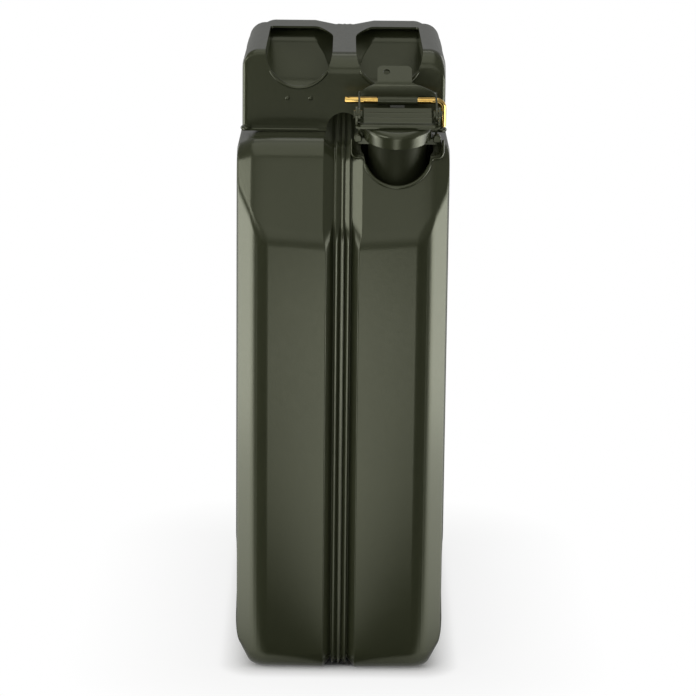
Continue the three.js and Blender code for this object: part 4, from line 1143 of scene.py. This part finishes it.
class CAN_OT_stage(bpy.types.Operator):
    """Sets up the floor, the white surround, the soft lamps and the camera"""

    bl_idname = "can.stage"
    bl_label = "Stage"

    def execute(self, context):
        scene = context.scene
        scene.view_settings.view_transform = "Standard"
        self.floor()
        self.surround(scene)
        for lamp in LAMPS:
            area_light(*lamp)
        self.camera(scene)
        return {"FINISHED"}

    def floor(self):
        """White paper that keeps the can's shadow close to its foot; in glossy rays it glows instead, a
        painted reflection that shows in the paint brighter at the sides and in front"""
        corners = np.array([(-1, -1, 0), (1, -1, 0), (1, 1, 0), (-1, 1, 0)], float)
        floor = form(corners * FLOOR_REACH, [[0, 1, 2, 3]])
        floor.name = "floor"
        material = bpy.data.materials.new("white_paper_with_painted_glow")
        material.use_nodes = True
        tree = material.node_tree
        tree.nodes.clear()
        number, vector, mix = "ShaderNodeMath", "ShaderNodeVectorMath", "ShaderNodeMixShader"
        place = add(tree, "ShaderNodeTexCoord").outputs["Object"]
        ray = add(tree, "ShaderNodeLightPath").outputs
        # how far a place is from the can's footprint, and the shadow kept there
        span = add(tree, vector, {"operation": "ABSOLUTE"}, i0=place)
        beyond = add(tree, vector, {"operation": "SUBTRACT", 1: FOOTPRINT}, i0=span)
        clear = add(tree, vector, {"operation": "MAXIMUM", 1: (0, 0, 0)}, i0=beyond)
        gap = add(tree, vector, {"operation": "LENGTH"}, i0=clear).outputs["Value"]
        stops = [(distance, [grey] * 3) for distance, grey in FLOOR_FADE]
        fade = add(tree, "ShaderNodeValToRGB", {"stops": stops}, Fac=gap)
        seen = add(tree, number, {"operation": "MULTIPLY"}, i0=ray["Is Camera Ray"], i1=fade)
        paper = add(tree, "ShaderNodeBsdfDiffuse", {"Color": linear("f4f4f2")})
        white = add(tree, "ShaderNodeEmission", {"Color": (1, 1, 1, 1), "Strength": 1.0})
        plain = add(tree, mix, None, i0=seen, i1=paper, i2=white)
        # distance from the can and angle from its front, which set the painted glow that the paint reflects
        away = add(tree, vector, {"operation": "LENGTH"}, i0=place).outputs["Value"]
        share = add(tree, "ShaderNodeMapRange", {"From Max": GLOW_REACH}, Value=away)
        ahead = add(tree, vector, {"operation": "ADD", 1: GLOW_CENTRE}, i0=place)
        part = add(tree, "ShaderNodeSeparateXYZ", None, Vector=ahead).outputs
        front = add(tree, number, {"operation": "MULTIPLY", 1: -1.0}, i0=part["Y"])
        angle = add(tree, number, {"operation": "ARCTAN2"}, i0=part["X"], i1=front)
        aside = add(tree, number, {"operation": "ABSOLUTE"}, i0=angle)
        glows = []
        sectors = [(FRONT_SECTOR + FRONT_LEVELS, FRONT_GLOW), (SIDE_SECTOR + SIDE_LEVELS, SIDE_GLOW)]
        for limits, glow in sectors:
            settings = {"interpolation_type": "SMOOTHSTEP", **dict(zip(RANGE, limits))}
            level = add(tree, "ShaderNodeMapRange", settings, Value=aside)
            stops = [(distance / GLOW_REACH, [grey] * 3) for distance, grey in glow]
            tone = add(tree, "ShaderNodeValToRGB", {"stops": stops}, Fac=share)
            glows.append(add(tree, "ShaderNodeEmission", None, Color=tone, Strength=level))
        limits = dict(zip(RANGE, REAR_SECTOR + REAR_LEVELS))
        lit = add(tree, "ShaderNodeMapRange", limits, Value=aside)
        sides = add(tree, mix, None, i0=lit, i2=glows[1])
        glow = add(tree, "ShaderNodeAddShader", None, i0=glows[0], i1=sides)
        # glossy rays see the painted glow, all other rays the paper
        surface = add(tree, mix, None, i0=ray["Is Glossy Ray"], i1=plain, i2=glow)
        add(tree, "ShaderNodeOutputMaterial", None, Surface=surface)
        floor.data.materials.append(material)

    def surround(self, scene):
        """A white room: full white behind the can, dimmer as light on it and in its paint"""
        world = bpy.data.worlds.new("surround")
        world.use_nodes = True
        scene.world = world
        tree = world.node_tree
        tree.nodes.clear()
        number, most, times = "ShaderNodeMath", {"operation": "MAXIMUM"}, {"operation": "MULTIPLY"}
        ray = add(tree, "ShaderNodeLightPath").outputs
        seen, through = ray["Is Camera Ray"], ray["Is Transmission Ray"]
        straight = add(tree, number, most, i0=seen, i1=through)
        glossy = add(tree, number, {**times, 1: ROOM_IN_PAINT}, i0=ray["Is Glossy Ray"])
        level = add(tree, number, most, i0=straight, i1=glossy)
        diffuse = add(tree, number, {**times, 1: ROOM_LIGHT}, i0=ray["Is Diffuse Ray"])
        strength = add(tree, number, most, i0=level, i1=diffuse)
        white = add(tree, "ShaderNodeBackground", {"Color": (1, 1, 1, 1)}, Strength=strength)
        add(tree, "ShaderNodeOutputWorld", None, Surface=white)

    def camera(self, scene):
        """A long lens a little above the can, rolled and shifted to the photograph's framing"""
        data = bpy.data.cameras.new("camera")
        data.lens, data.sensor_width = LENS, SENSOR
        data.shift_x, data.shift_y = (pixels / PICTURE for pixels in SHIFT)
        data.clip_end = CAMERA_REACH
        camera = bpy.data.objects.new("camera", data)
        place = Vector(CAMERA_PLACE)
        aim = (Vector(CAMERA_AIM) - place).to_track_quat("-Z", "Y").to_matrix().to_4x4()
        roll = Matrix.Rotation(math.radians(CAMERA_ROLL), 4, "Z")
        camera.matrix_world = Matrix.Translation(place) @ aim @ roll
        scene.collection.objects.link(camera)
        scene.camera = camera


class CAN_PT_panel(bpy.types.Panel):
    """Lists the can's sizes, colours and steps"""

    bl_idname = "CAN_PT_panel"
    bl_label = "Jerry can"
    bl_space_type = "VIEW_3D"
    bl_region_type = "UI"
    bl_category = "Jerry can"

    def draw(self, context):
        for group in (context.scene.can_sizes, context.scene.can_colours):
            for name in group.__annotations__:
                self.layout.prop(group, name)
        for step in STEPS:
            self.layout.operator(step.bl_idname)


STEPS = (CAN_OT_shells, CAN_OT_handle, CAN_OT_neck, CAN_OT_lugs, CAN_OT_lid, CAN_OT_strap)
STEPS += (CAN_OT_rivet, CAN_OT_lever, CAN_OT_pin, CAN_OT_fittings, CAN_OT_stage)
CLASSES = (CanSizes, CanColours, *STEPS, CAN_PT_panel)


def register():
    for item in CLASSES:
        bpy.utils.register_class(item)
    bpy.types.Scene.can_sizes = PointerProperty(type=CanSizes)
    bpy.types.Scene.can_colours = PointerProperty(type=CanColours)


def unregister():
    del bpy.types.Scene.can_colours
    del bpy.types.Scene.can_sizes
    for item in reversed(CLASSES):
        bpy.utils.unregister_class(item)


def main():
    register()
    for step in STEPS:
        group, name = step.bl_idname.split(".")
        getattr(getattr(bpy.ops, group), name)()


if __name__ == "__main__":
    main()
